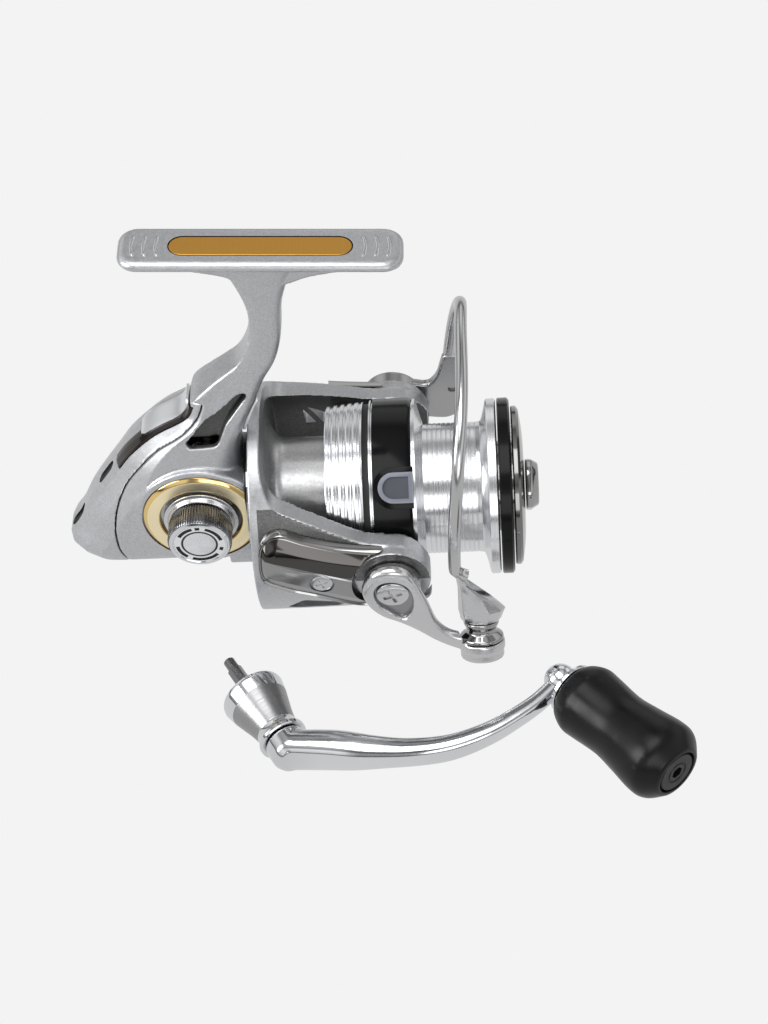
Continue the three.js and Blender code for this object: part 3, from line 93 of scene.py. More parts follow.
# Spool and drag
SPOOL = Sizes(back=14.2, skirt=21.2, swell=21.9, inner=19.7, band=25.7, band_end=35)
BEAD = Sizes(back=24.7, radius=22.2, groove=0.9)
ARBOR = Sizes(radius=15.9, back=37.6, front=51.4, grooves=11, groove=0.14)
LIP = Sizes(radius=21.4, back=53, front=55.5, ease=0.35)
SKIRT_RIBS = Sizes(count=5, depth=0.35, front=22.8, land=0.5)
BAND = Sizes(radius=22.5, thickness=0.6, ease=0.35)
CLIP = Sizes(length=8.4, width=7.4, thickness=0.8, ahead=31.2, seat=1.3, rim=1.1, ease=0.12)
LIP_RING = Sizes(radius=21.5, inner=12.6, back=55.8, front=58.8, ease=0.5)
DRAG = Sizes(radius=19.4, back=59.1, front=60.9, crown=61.8, stem=11, stem_back=54.6, shaft=60.1, ease=0.7)
GRIP = Sizes(length=25, width=12.6, height=3.1, soft=1.2, edge=0.7, ease=0.25)

# Handle
HANDLE_PLACE = Vector((5.5, -61.5, -103))
HANDLE_AXIS = Vector((0.496, -0.867, 0.04)).normalized()
HANDLE_REACH = Vector((0.852, 0.495, 0.165))
CRANK = Sizes(boss=5.2, boss_depth=6.2, reach=62, offset=21.4, thick=3.3, slim=2.1, ball=3.9)
HANDLE_COLLAR = Sizes(rim=7.9, waist=5.1, base=6, back=19.8, lip=1, bore=2.2)
KNOB = Sizes(length=33.7, back=7.6, swell=8.9, waist=8.3, front=9.8, cap=5.1, cap_depth=1.6, bore=2.3,
             ease=0.5, cap_ease=0.35)
KNOB_TILT = radians(11)
WASHER = Sizes(radius=6.4, inner=2.3, thickness=0.9)

# Lengths used all over: gaps, soft edges, how far cutters reach past, and the grain of castings
GAP = 0.3
HAIR = 0.1
SOFT = 0.5
FINE = 0.25
BEVEL = 0.2
OVER = 2
VOXEL = Sizes(body=0.36, cover=0.3, rotor=0.32, bail=0.2, crank=0.25)

# Frames of the groups that the pieces are made in
HANDLE_SIDE = HANDLE_AXIS.cross(HANDLE_REACH).normalized()
HANDLE_SQUARE = HANDLE_SIDE.cross(HANDLE_AXIS).normalized()
ROW = Matrix.Identity(4)
DRIVE = Matrix.Translation((0, 0, -FOOT.drop)) @ Matrix.Rotation(-TILT, 4, "Y")
ON_CLIP = DRIVE @ Matrix.Rotation(CLIP_TURN, 4, "X")
ON_AXLE = DRIVE @ Matrix.Translation((-AXLE.back, 0, AXLE.up)) @ Matrix.Rotation(-pi / 2, 4, "Z")
HANDLE_TURN = Matrix((HANDLE_AXIS, HANDLE_SQUARE, HANDLE_SIDE)).transposed()
HANDLE = Matrix.Translation(HANDLE_PLACE) @ HANDLE_TURN.to_4x4()
ON_KNOB = HANDLE @ Matrix.Translation((CRANK.offset, CRANK.reach, 0)) @ Matrix.Rotation(KNOB_TILT, 4, "Z")
ROLLER_AT = Vector((ROLLER.ahead, -ROLLER.out, -ROLLER.down))
ROLLER_AXIS = Vector((0, cos(ROLLER_LEAN), sin(ROLLER_LEAN)))
ON_ROLLER = DRIVE @ Matrix.Translation(ROLLER_AT) @ ROLLER_AXIS.to_track_quat("X", "Z").to_matrix().to_4x4()
PIVOT_AT = Vector((PIVOT.ahead, 0, 0))


# Mesh helpers
def new_piece(name, vertices, faces):
    mesh = bpy.data.meshes.new(name)
    mesh.from_pydata([tuple(v) for v in vertices], [], faces)
    piece = bpy.data.objects.new(name, mesh)
    bpy.context.collection.objects.link(piece)
    tidy_normals(mesh)
    return piece


def tidy_normals(mesh):
    shape = bmesh.new()
    shape.from_mesh(mesh)
    bmesh.ops.recalc_face_normals(shape, faces=shape.faces)
    shape.to_mesh(mesh)
    shape.free()


def bake(piece):
    depsgraph = bpy.context.evaluated_depsgraph_get()
    mesh = bpy.data.meshes.new_from_object(piece.evaluated_get(depsgraph))
    piece.modifiers.clear()
    piece.data = mesh
    return piece


def fillet(points, size, steps=4, closed=True):
    """Rounds the corners of an outline with short curves."""
    points = [Vector(p) for p in points]
    count = len(points)
    made = []
    for i, corner in enumerate(points):
        if not closed and i in (0, count - 1):
            made.append(corner)
            continue
        before, after = points[i - 1], points[(i + 1) % count]
        back, on = before - corner, after - corner
        reach_back = min(size, back.length * 0.45)
        reach_on = min(size, on.length * 0.45)
        a = corner + back.normalized() * reach_back
        b = corner + on.normalized() * reach_on
        for k in range(steps + 1):
            t = k / steps
            made.append(a * (1 - t) ** 2 + corner * (2 * t * (1 - t)) + b * t ** 2)
    return made


def smooth_loop(points, per_side=6, closed=True):
    """A Catmull-Rom curve through the points."""
    points = [Vector(p) for p in points]
    count = len(points)
    made = []
    sides = count if closed else count - 1
    for i in range(sides):
        if closed:
            a, b, c, d = (points[(i + k) % count] for k in (-1, 0, 1, 2))
        else:
            a, b, c, d = (points[min(max(i + k, 0), count - 1)] for k in (-1, 0, 1, 2))
        for k in range(per_side):
            t = k / per_side
            made.append(0.5 * (2 * b + (c - a) * t + (2 * a - 5 * b + 4 * c - d) * t ** 2
                               + (3 * b - a - 3 * c + d) * t ** 3))
    if not closed:
        made.append(points[-1])
    return made


def lathe(name, profile, turns=TURNS):
    """A turned piece about X from (along, radius) points, from axis to axis or round a closed outline."""
    on_axis = profile[0][1] == 0
    vertices, rings = [], []
    for along, radius in profile:
        if radius == 0:
            rings.append([len(vertices)] * turns)
            vertices.append((along, 0, 0))
            continue
        rings.append(list(range(len(vertices), len(vertices) + turns)))
        for i in range(turns):
            angle = tau * i / turns
            vertices.append((along, radius * cos(angle), radius * sin(angle)))
    pairs = list(zip(rings, rings[1:]))
    if not on_axis:
        pairs.append((rings[-1], rings[0]))
    faces = []
    for a, b in pairs:
        for i in range(turns):
            j = (i + 1) % turns
            corners = [a[i], a[j], b[j], b[i]]
            kept = [c for k, c in enumerate(corners) if c != corners[k - 1]]
            if len(kept) > 2:
                faces.append(kept)
    return new_piece(name, vertices, faces)


PLANES = {"xz": lambda a, b, c: (a, c, b), "xy": lambda a, b, c: (a, b, c), "yz": lambda a, b, c: (c, a, b)}


def prism(name, outline, low, high, plane="xz"):
    """An outline drawn in two directions and pulled along the third."""
    order = PLANES[plane]
    count = len(outline)
    vertices = [order(p[0], p[1], level) for level in (low, high) for p in outline]
    faces = [list(range(count)), list(range(2 * count - 1, count - 1, -1))]
    for i in range(count):
        j = (i + 1) % count
        faces.append([i, j, count + j, count + i])
    return new_piece(name, vertices, faces)


def skin_faces(count, rows):
    """Four-cornered faces between rings of equally many points."""
    faces = []
    for r in range(rows - 1):
        for i in range(count):
            j = (i + 1) % count
            faces.append([r * count + i, r * count + j, (r + 1) * count + j, (r + 1) * count + i])
    return faces


def loft(name, rings):
    """A skin over rings of equally many points, closed by fans at its ends."""
    count = len(rings[0])
    vertices = [p for ring in rings for p in ring]
    faces = skin_faces(count, len(rings))
    for r in (0, len(rings) - 1):
        vertices.append(sum((Vector(p) for p in rings[r]), Vector()) / count)
        for i in range(count):
            faces.append([len(vertices) - 1, r * count + i, r * count + (i + 1) % count])
    return new_piece(name, vertices, faces)


def oval(centre, sideways, upwards, count, power=1.0):
    made = []
    for i in range(count):
        turn = tau * i / count
        c = copysign(abs(cos(turn)) ** power, cos(turn))
        s = copysign(abs(sin(turn)) ** power, sin(turn))
        made.append(Vector(centre) + Vector(sideways) * c + Vector(upwards) * s)
    return made


def sweep(name, path, radii, sides, side=None):
    """A limb along a path of points, with a radius for each point, closed by flat ends."""
    rings = []
    up = Vector(side) if side else None
    for i, point in enumerate(path):
        along = (path[min(i + 1, len(path) - 1)] - path[max(i - 1, 0)]).normalized()
        if up is None:
            up = along.orthogonal().normalized()
        across = along.cross(up).normalized()
        lifted = across.cross(along).normalized()
        if not side:
            up = lifted
        turns = [tau * k / sides for k in range(sides)]
        rings.append([point + (across * cos(t) + lifted * sin(t)) * radii[i] for t in turns])
    return loft(name, rings)


def combine(piece, *tools, how="DIFFERENCE", finish=None):
    """Cuts, joins or crosses pieces, and with a finish gives it to the faces that a tool leaves."""
    for tool in tools:
        step = piece.modifiers.new(how, "BOOLEAN")
        step.operation = how
        step.object = tool
        step.solver = "EXACT"
        if finish:
            tool.data.materials.append(finish)
            step.material_mode = "TRANSFER"
        bake(piece)
        bpy.data.objects.remove(tool)
    return piece


def common(piece, *others):
    return combine(piece, *others, how="INTERSECT")


def heap(piece, *others):
    """Puts pieces into one mesh, to be cast as one."""
    shape = bmesh.new()
    shape.from_mesh(piece.data)
    for other in others:
        shape.from_mesh(other.data)
        bpy.data.objects.remove(other)
    shape.to_mesh(piece.data)
    shape.free()
    return piece


def inset(outline, distance):
    """Draws a smooth closed outline in by a small distance."""
    points = [Vector(p[:2]) for p in outline]
    turning = sum(a.x * b.y - b.x * a.y for a, b in zip(points, points[1:] + points[:1]))
    side = 1 if turning > 0 else -1
    made = []
    for i, point in enumerate(points):
        along = (points[(i + 1) % len(points)] - points[i - 1]).normalized()
        made.append(point + Vector((-along.y, along.x)) * side * distance)
    return made


def plated(name, outline, levels):
    """A plate with eased edges, from levels of how far the outline is drawn in and how high that is."""
    vertices = [(p.x, height, p.y) for pull, height in levels for p in inset(outline, pull)]
    count = len(outline)
    last = count * (len(levels) - 1)
    ends = [list(range(count)), list(range(last + count - 1, last - 1, -1))]
    return new_piece(name, vertices, ends + skin_faces(count, len(levels)))


def cast(piece, voxel=0.35, rounds=3, factor=0.5):
    """Gives a joined piece the soft edges of a casting."""
    step = piece.modifiers.new("remesh", "REMESH")
    step.mode = "VOXEL"
    step.voxel_size = voxel
    step = piece.modifiers.new("smooth", "SMOOTH")
    step.factor = factor
    step.iterations = rounds
    return bake(piece)


def round_edges(piece, width=BEVEL, segments=2, angle=35):
    step = piece.modifiers.new("bevel", "BEVEL")
    step.width = width
    step.segments = segments
    step.limit_method = "ANGLE"
    step.angle_limit = radians(angle)
    return bake(piece)


def shade(piece, angle=40):
    piece.data.shade_smooth()
    piece.data.set_sharp_from_angle(angle=radians(angle))


def paint(piece, material, test):
    """Gives another material to the faces that a test of centre and normal picks."""
    slots = piece.data.materials
    slots.append(material)
    for face in piece.data.polygons:
        if test(face.center, face.normal):
            face.material_index = len(slots) - 1


def scaled(shares, wide, high):
    return [(x * wide, z * high) for x, z in shares]


def radial(point):
    """Distance from the X axis."""
    return hypot(point.y, point.z)


def outwards(point, normal):
    """How far a face looks away from the X axis, from -1 to 1."""
    return (normal.y * point.y + normal.z * point.z) / radial(point)


def place(piece, setting, material, body, nodes=(), slot=None, angle=40):
    if not piece.data.materials:
        piece.data.materials.append(material)
    piece.data.transform(Matrix.Scale(METRES, 4) @ setting)
    tidy_normals(piece.data)
    shade(piece, angle)
    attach(piece, body)
    if nodes:
        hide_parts(*nodes)
    return piece


# Materials
def shader(name, color, roughness, metallic, coat=0.0, coat_roughness=0.1, specular=0.5):
    material = bpy.data.materials.new(name)
    material.use_nodes = True
    tree = material.node_tree
    surface = tree.nodes["Principled BSDF"]
    surface.inputs["Base Color"].default_value = (*color, 1)
    surface.inputs["Roughness"].default_value = roughness
    surface.inputs["Metallic"].default_value = metallic
    surface.inputs["Coat Weight"].default_value = coat
    surface.inputs["Coat Roughness"].default_value = coat_roughness
    surface.inputs["Specular IOR Level"].default_value = specular
    return material, tree, surface


def node(tree, kind, **settings):
    made = tree.nodes.new(kind)
    for name, value in settings.items():
        if name in made.inputs:
            made.inputs[name].default_value = value
        else:
            setattr(made, name, value)
    return made


def object_place(tree):
    return tree.nodes.new("ShaderNodeTexCoord").outputs["Object"]


def noise(tree, scale, detail=2.0, place=None, roughness=0.5):
    made = node(tree, "ShaderNodeTexNoise", Scale=scale, Detail=detail, Roughness=roughness)
    tree.links.new(place or object_place(tree), made.inputs["Vector"])
    return made.outputs["Fac"]


def spread(tree, value, low, high, to_low, to_high):
    made = node(tree, "ShaderNodeMapRange")
    for name, number in (("From Min", low), ("From Max", high), ("To Min", to_low), ("To Max", to_high)):
        made.inputs[name].default_value = number
    tree.links.new(value, made.inputs["Value"])
    return made.outputs["Result"]


def blend_colors(tree, share, first, second):
    made = tree.nodes.new("ShaderNodeMix")
    made.data_type = "RGBA"
    if isinstance(first, tuple):
        made.inputs["A"].default_value = (*first, 1)
    else:
        tree.links.new(first, made.inputs["A"])
    made.inputs["B"].default_value = (*second, 1)
    tree.links.new(share, made.inputs["Factor"])
    return made.outputs["Result"]


def bumped(tree, surface, height, distance, strength=1.0):
    made = node(tree, "ShaderNodeBump", Strength=strength, Distance=distance)
    tree.links.new(height, made.inputs["Height"])
    previous = surface.inputs["Normal"].links
    if previous:
        tree.links.new(previous[0].from_socket, made.inputs["Normal"])
    tree.links.new(made.outputs["Normal"], surface.inputs["Normal"])


def along_axis(tree, axis):
    """Distance along an axis, as a value, for turned and brushed lines."""
    dot = node(tree, "ShaderNodeVectorMath", operation="DOT_PRODUCT")
    dot.inputs[1].default_value = axis
    tree.links.new(object_place(tree), dot.inputs[0])
    return dot.outputs["Value"]


def lines(tree, value, pitch):
    """Fine uneven lines across a value, as turning or brushing leaves them."""
    scaled = node(tree, "ShaderNodeMath", operation="MULTIPLY")
    scaled.inputs[1].default_value = 1 / pitch
    tree.links.new(value, scaled.inputs[0])
    made = node(tree, "ShaderNodeTexNoise", Scale=1.0, Detail=3.0)
    made.noise_dimensions = "1D"
    tree.links.new(scaled.outputs[0], made.inputs["W"])
    return made.outputs["Fac"]


def edge_highlight(tree):
    """A value that is high on sharp outside edges, where a lighter colour is painted on as an edge
    highlight.
    """
    pointed = tree.nodes.new("ShaderNodeNewGeometry").outputs["Pointiness"]
    return spread(tree, pointed, 0.53, 0.6, 0, 1)


AXIS = (cos(TILT), 0, sin(TILT))
FLECK = 3600
FLECK_FINE = 9000
GRAIN_DEPTH = 0.00001
HAZE_DEPTH = 0.00002


def flecked_paint(name, color, shadow, light, roughness=0.4, metallic=0.75, coat=0.25, depth=HAZE_DEPTH):
    material, tree, surface = shader(name, color, roughness, metallic, coat, 0.22)
    cells = node(tree, "ShaderNodeTexVoronoi", Scale=FLECK)
    tree.links.new(object_place(tree), cells.inputs["Vector"])
    fleck = spread(tree, cells.outputs["Color"], 0.15, 0.9, 0, 1)
    base = blend_colors(tree, fleck, shadow, light)
    cloud = spread(tree, noise(tree, 60, 3), 0.35, 0.7, 0, 0.35)
    base = blend_colors(tree, cloud, base, color)
    # Painted highlight: a lighter colour on sharp outside edges
    set_color(tree, surface, edge_highlight(tree), base, toned(color, 1.25))
    set_roughness(tree, surface, noise(tree, 900, 2), roughness - 0.05, roughness + 0.07)
    bumped(tree, surface, noise(tree, FLECK_FINE, 1), depth, 0.35)
    bumped(tree, surface, noise(tree, 700, 2), depth, 0.3)
    return material


def toned(color, share, lift=0.0):
    """A darker or lighter colour."""
    return tuple(min(1, c * share + lift) for c in color)


def set_roughness(tree, surface, value, low, high):
    tree.links.new(spread(tree, value, 0.3, 0.7, low, high), surface.inputs["Roughness"])


def set_color(tree, surface, share, first, second):
    tree.links.new(blend_colors(tree, share, first, second), surface.inputs["Base Color"])


def turned_metal(name, color, roughness, pitch, axis=AXIS, metallic=1.0, anisotropic=0.0):
    material, tree, surface = shader(name, color, roughness, metallic)
    surface.inputs["Anisotropic"].default_value = anisotropic
    grain = lines(tree, along_axis(tree, axis), pitch)
    set_roughness(tree, surface, grain, roughness - 0.05, roughness + 0.08)
    set_color(tree, surface, spread(tree, grain, 0.35, 0.75, 0, 1), color, toned(color, 0.86))
    bumped(tree, surface, grain, GRAIN_DEPTH, 0.5)
    return material


def mirror_metal(name, color, roughness=0.05, cloud=0.03):
    material, tree, surface = shader(name, color, roughness, 1.0)
    haze = spread(tree, noise(tree, 120, 4), 0.35, 0.75, roughness, roughness + cloud)
    tree.links.new(haze, surface.inputs["Roughness"])
    set_color(tree, surface, spread(tree, noise(tree, 35, 2), 0.4, 0.7, 0, 1), color, toned(color, 0.9))
    bumped(tree, surface, noise(tree, 160, 2), HAZE_DEPTH, 0.12)
    return material


def gloss_paint(name, color, roughness, coat, specular):
    material, tree, surface = shader(name, color, roughness, 0.0, coat, 0.04, specular)
    set_roughness(tree, surface, noise(tree, 400, 3), roughness, roughness + 0.06)
    # Painted highlight: a lighter colour on sharp outside edges
    set_color(tree, surface, edge_highlight(tree), color, toned(color, 1.6, 0.004))
    bumped(tree, surface, noise(tree, 250, 2), HAZE_DEPTH, 0.1)
    return material


def brushed_disc(name, color, roughness=0.28, anisotropic=0.85):
    """Metal brushed round its middle, which shows light as two fans."""
    material, tree, surface = shader(name, color, roughness, 1.0)
    surface.inputs["Anisotropic"].default_value = anisotropic
    tangent = node(tree, "ShaderNodeTangent", direction_type="RADIAL", axis="Y")
    tree.links.new(tangent.outputs["Tangent"], surface.inputs["Tangent"])
    set_roughness(tree, surface, noise(tree, 900, 3), roughness - 0.04, roughness + 0.05)
    set_color(tree, surface, noise(tree, 2500, 2), color, toned(color, 0.85))
    return material


def moulded(name, color, roughness=0.5, grain=2200, depth=0.00004, specular=0.45):
    material, tree, surface = shader(name, color, roughness, 0.0, specular=specular)
    patch = spread(tree, noise(tree, 45, 4), 0.35, 0.75, 0, 0.6)
    base = blend_colors(tree, patch, color, toned(color, 1.35, 0.004))
    # Painted highlight: a lighter colour on sharp outside edges
    set_color(tree, surface, edge_highlight(tree), base, toned(color, 1.7, 0.01))
    set_roughness(tree, surface, noise(tree, 160, 3), roughness - 0.06, roughness + 0.08)
    bumped(tree, surface, noise(tree, grain, 2), depth, 0.4)
    return material


SATIN = flecked_paint("satin_silver", (0.51, 0.515, 0.53), (0.45, 0.455, 0.47), (0.58, 0.585, 0.605), 0.36,
                      0.85, 0.2, 0.00001)
# Darker satin, painted as shade in the pocket, on the neck and on the inward faces of the rotor
SATIN_SHADE = flecked_paint("satin_shadow", (0.1, 0.1, 0.098), (0.08, 0.08, 0.078), (0.13, 0.13, 0.128), 0.4,
                           0.6, 0.1)
ROTOR_SHADOW = flecked_paint("rotor_shadow", (0.13, 0.13, 0.128), (0.1, 0.1, 0.098), (0.17, 0.17, 0.168),
                             0.28, 0.7, 0.3, 0.00001)
BAIL_PAINT = mirror_metal("bail_metal", (0.62, 0.62, 0.63), 0.22, 0.06)
DRUM_PAINT = flecked_paint("drum_silver", (0.52, 0.52, 0.525), (0.46, 0.46, 0.465), (0.6, 0.6, 0.605), 0.34,
                           0.85, 0.1)
AMBER = turned_metal("amber_label", (0.62, 0.32, 0.06), 0.36, 0.00012, axis=(1, 0, 0), metallic=0.85)
RECESS = turned_metal("brushed_recess", (0.3, 0.3, 0.31), 0.3, 0.0002, axis=(0, 1, 0))
DARK_GLOSS = gloss_paint("dark_gloss", (0.012, 0.008, 0.007), 0.06, 0.2, 0.25)
GOLD_FLAT = mirror_metal("gold_matt", (1.0, 0.87, 0.58), 0.3, 0.05)
GOLD = mirror_metal("gold_bright", (0.86, 0.63, 0.27), 0.09)
TURNED = turned_metal("turned_aluminium", (0.66, 0.67, 0.69), 0.22, 0.00018, axis=(0, 1, 0))
KNURL = mirror_metal("knurl", (0.22, 0.22, 0.23), 0.2)
CAP_WHITE = mirror_metal("cap_matt", (0.92, 0.93, 0.95), 0.3, 0.05)
CAP_DISC = brushed_disc("cap_disc", (0.86, 0.87, 0.9))
SCREW_STEEL = mirror_metal("screw_steel", (0.6, 0.6, 0.61), 0.12, 0.05)
SPOOL_METAL = turned_metal("spool_aluminium", (0.83, 0.84, 0.86), 0.2, 0.00022, anisotropic=0.4)
STEEL = turned_metal("steel", (0.5, 0.51, 0.53), 0.24, 0.0003)
WIRE_STEEL = mirror_metal("wire_steel", (0.54, 0.54, 0.545), 0.16, 0.05)
LEVER_METAL = mirror_metal("lever_metal", (0.42, 0.42, 0.425), 0.25, 0.05)
DARK_STEEL = mirror_metal("dark_steel", (0.24, 0.24, 0.25), 0.2, 0.05)
BRASS = turned_metal("brass", (0.62, 0.43, 0.17), 0.3, 0.0003, axis=(0, 1, 0))
GEAR_ALLOY = flecked_paint("gear_alloy", (0.42, 0.42, 0.42), (0.36, 0.36, 0.36), (0.48, 0.48, 0.48), 0.45)
CLUTCH = mirror_metal("clutch_steel", (0.6, 0.61, 0.63), 0.12)
DARK_CHROME = mirror_metal("dark_chrome", (0.38, 0.376, 0.374), 0.06, 0.04)
# Near-black chrome, painted as a dark reflection on the upper facet of the arm covers
COVER_DARK_REFLECTION = mirror_metal("cover_dark_reflection", (0.085, 0.08, 0.078), 0.06, 0.03)
COVER_GREY = mirror_metal("cover_grey", (0.34, 0.34, 0.34), 0.16, 0.06)
KNOB_CHROME = mirror_metal("drag_chrome", (0.22, 0.218, 0.215), 0.08, 0.04)
BLACK_BAND = gloss_paint("black_band", (0.003, 0.003, 0.0035), 0.12, 0.0, 0.14)
CLIP_GREY = moulded("clip_plastic", (0.2, 0.21, 0.25), 0.35)
CLIP_PAD = moulded("clip_pad", (0.07, 0.075, 0.09), 0.4)
WASHER_FELT = moulded("washer", (0.05, 0.05, 0.05), 0.9, 900, 0.0001)
HANDLE_CHROME = mirror_metal("handle_chrome", (0.76, 0.77, 0.79), 0.1, 0.04)
COLLAR_GREY = turned_metal("collar_grey", (0.36, 0.36, 0.365), 0.32, 0.0004, axis=tuple(HANDLE_AXIS))
RUBBER = moulded("knob_rubber", (0.003, 0.003, 0.0033), 0.3, 2600, 0.00001, 0.25)
CAP_RUBBER = moulded("knob_cap", (0.008, 0.008, 0.0085), 0.4, 1800, 0.00001, 0.3)
# Black painted into slots, grooves and recesses as painted shade
SLOT_SHADE = moulded("slot_shade", (0.012, 0.012, 0.012), 0.6)


# Housing, foot and covers
SLICES = [
    (-0.184, -0.863, -0.137, 0.61), (-0.155, -0.951, -0.106, 0.813), (-0.103, -0.995, -0.098, 0.943),
    (-0.03, -0.935, -0.098, 0.992), (0.06, -0.875, -0.098, 1), (0.147, -0.8, -0.098, 1),
    (0.235, -0.718, -0.11, 0.976),
    (0.323, -0.632, -0.11, 0.894), (0.412, -0.504, -0.082, 0.78), (0.486, -0.345, -0.043, 0.65),
    (0.56, -0.3, 0.004, 0.504), (0.632, -0.196, 0.047, 0.407), (0.706, -0.078, 0.102, 0.358),
    (0.78, -0.024, 0.133, 0.333), (0.853, 0, 0.149, 0.325), (0.926, 0.006, 0.157, 0.325),
    (1, -0.01, 0.176, 0.333), (1.09, -0.05, 0.22, 0.36), (1.165, -0.1, 0.29, 0.39),
]
REAR_PLAN = [(1.4, 1), (1, 0.97), (0.5, 0.6), (0.1, 0.06)]
ROOM_LOW, ROOM_HIGH = -0.16, 0.42
TAIL = [
    (-0.25, 0.56), (-0.285, 0.5), (-0.35, 0.45), (-0.5, 0.37), (-0.635, 0.25),
    (-0.71, 0.14), (-0.741, 0.038), (-0.741, -0.06), (-0.72, -0.13), (-0.69, -0.24),
]
POCKET = [
    (-0.345, 0.422), (-0.327, 0.397), (-0.206, 0.401), (-0.19, 0.416), (-0.151, 0.484),
    (-0.041, 0.582), (-0.049, 0.597), (-0.08, 0.593), (-0.19, 0.526), (-0.235, 0.509),
]
POCKET_DEPTH = 3
POCKET_SOFT = 0.8
FAIRING_LINE = [(-1.12, 0), (-0.7, 0.4), (-0.32, 0.85), (-0.14, 1.4), (0.17, 1.4), (0.4, 0.85), (0.74, 0.4),
                (1.12, 0)]
FAR = 80


def slice_plan(x0, x1, half, inset, steps=24):
    """A level outline of the housing: round in front, and drawn in to a spine by facets at the rear."""
    middle = (x0 + x1) / 2
    taper = min(BODY.taper, (middle - x0) / 2)
    spine = min(BODY.spine - inset / 2, half * 0.85)
    ahead = []
    for i in range(steps + 1):
        turn = pi * (i / steps - 0.5)
        ahead.append((middle + (middle - x0) * max(0, cos(turn)) ** 0.5,
                      half * copysign(abs(sin(turn)) ** 0.5, sin(turn))))
    far = [(x0 + back * taper, spine + (half - spine) * out) for back, out in REAR_PLAN]
    back = [(x0, spine / 2), (x0, 0), (x0, -spine / 2)]
    line = [(middle, half)] + far + back + [(x, -y) for x, y in reversed(far)] + [(middle, -half)]
    rear = []
    for a, b in zip(line, line[1:]):
        rear += [(a[0] + (b[0] - a[0]) * k / 4, a[1] + (b[1] - a[1]) * k / 4) for k in range(4)]
    return ahead + rear[1:]


def housing_skin(name, inset=0.0, low=-1.0, high=2.0, per=6, sides=24):
    rings = []
    for height, rear, front, width in smooth_loop(SLICES, per, closed=False):
        if not low <= height <= high:
            continue
        plan = slice_plan(rear * BODY.reach + inset, front * BODY.reach - inset, width * BODY.half - inset,
                          inset, sides)
        rings.append([(x, y, height * BODY.rise) for x, y in plan])
    return loft(name, rings)


def tail_region(shift):
    line = smooth_loop([(x * BODY.reach + shift, z * BODY.rise) for x, z in TAIL], 5, closed=False)
    outline = line + [Vector((-FAR, line[-1][1])), Vector((-FAR, line[0][1]))]
    return prism("tail", outline, -BODY.half * 2, BODY.half * 2)


def side_region(inset):
    seat = BODY.half - SIDE.seat
    top = SIDE.top - inset
    shoulder = BODY.front * 2
    low = -BODY.rise / 2
    outline = [(-FAR, low), (0, low), (0, top - shoulder), (-shoulder, top), (-FAR, top)]
    return prism("side", outline, seat + inset, BODY.half * 2)


def on_axle(piece):
    piece.data.transform(DRIVE.inverted() @ ON_AXLE)
    return piece


def ring(name, outer, inner, low, high, turns=TURNS):
    return lathe(name, [(low, inner), (low, outer), (high, outer), (high, inner)], turns)


def rod(name, radius, low, high, turns=TURNS):
    return lathe(name, [(low, 0), (low, radius), (high, radius), (high, 0)], turns)


def block(name, low, high):
    outline = [(low[0], low[1]), (high[0], low[1]), (high[0], high[1]), (low[0], high[1])]
    return prism(name, outline, low[2], high[2], "xy")


def rounded_plan(length, width, corner, steps=10):
    made = []
    for sx, sy, start in ((1, 1, 0), (-1, 1, 1), (-1, -1, 2), (1, -1, 3)):
        for i in range(steps + 1):
            turn = (start + i / steps) * pi / 2
            made.append((sx * (length / 2 - corner) + corner * cos(turn),
                         sy * (width / 2 - corner) + corner * sin(turn)))
    return made


def foot_plate():
    """The plate as level outlines, with height and how far each is drawn in as shares."""
    levels = [(-1, 0.4), (-0.85, 0.08), (-0.6, 0), (-0.4, 0.05), (-0.2, 0.25), (-0.08, 0.55), (0, 1)]
    rings = []
    for height, inset in levels:
        pull = inset * FOOT.soft
        plan = rounded_plan(FOOT.length - 2 * pull, FOOT.width - 2 * pull, FOOT.corner - pull)
        rings.append([(x, y, height * FOOT.edge) for x, y in plan])
    return loft("foot", rings)


def foot_fairing():
    half = FAIRING.length / 2
    line = smooth_loop([(x * half, -FOOT.edge - z * FAIRING.depth) for x, z in FAIRING_LINE], 5,
                       closed=False)
    top = -FOOT.edge / 2
    outline = [(-half, top)] + [tuple(p) for p in line] + [(half, top)]
    return prism("fairing", outline, -FAIRING.width / 2, FAIRING.width / 2)


def stadium(length, width, steps=16):
    radius = width / 2
    half = length / 2 - radius
    made = []
    for side in (1, -1):
        for i in range(steps + 1):
            turn = -pi / 2 + pi * i / steps
            made.append((side * (half + radius * cos(turn)), side * radius * sin(turn)))
    return made


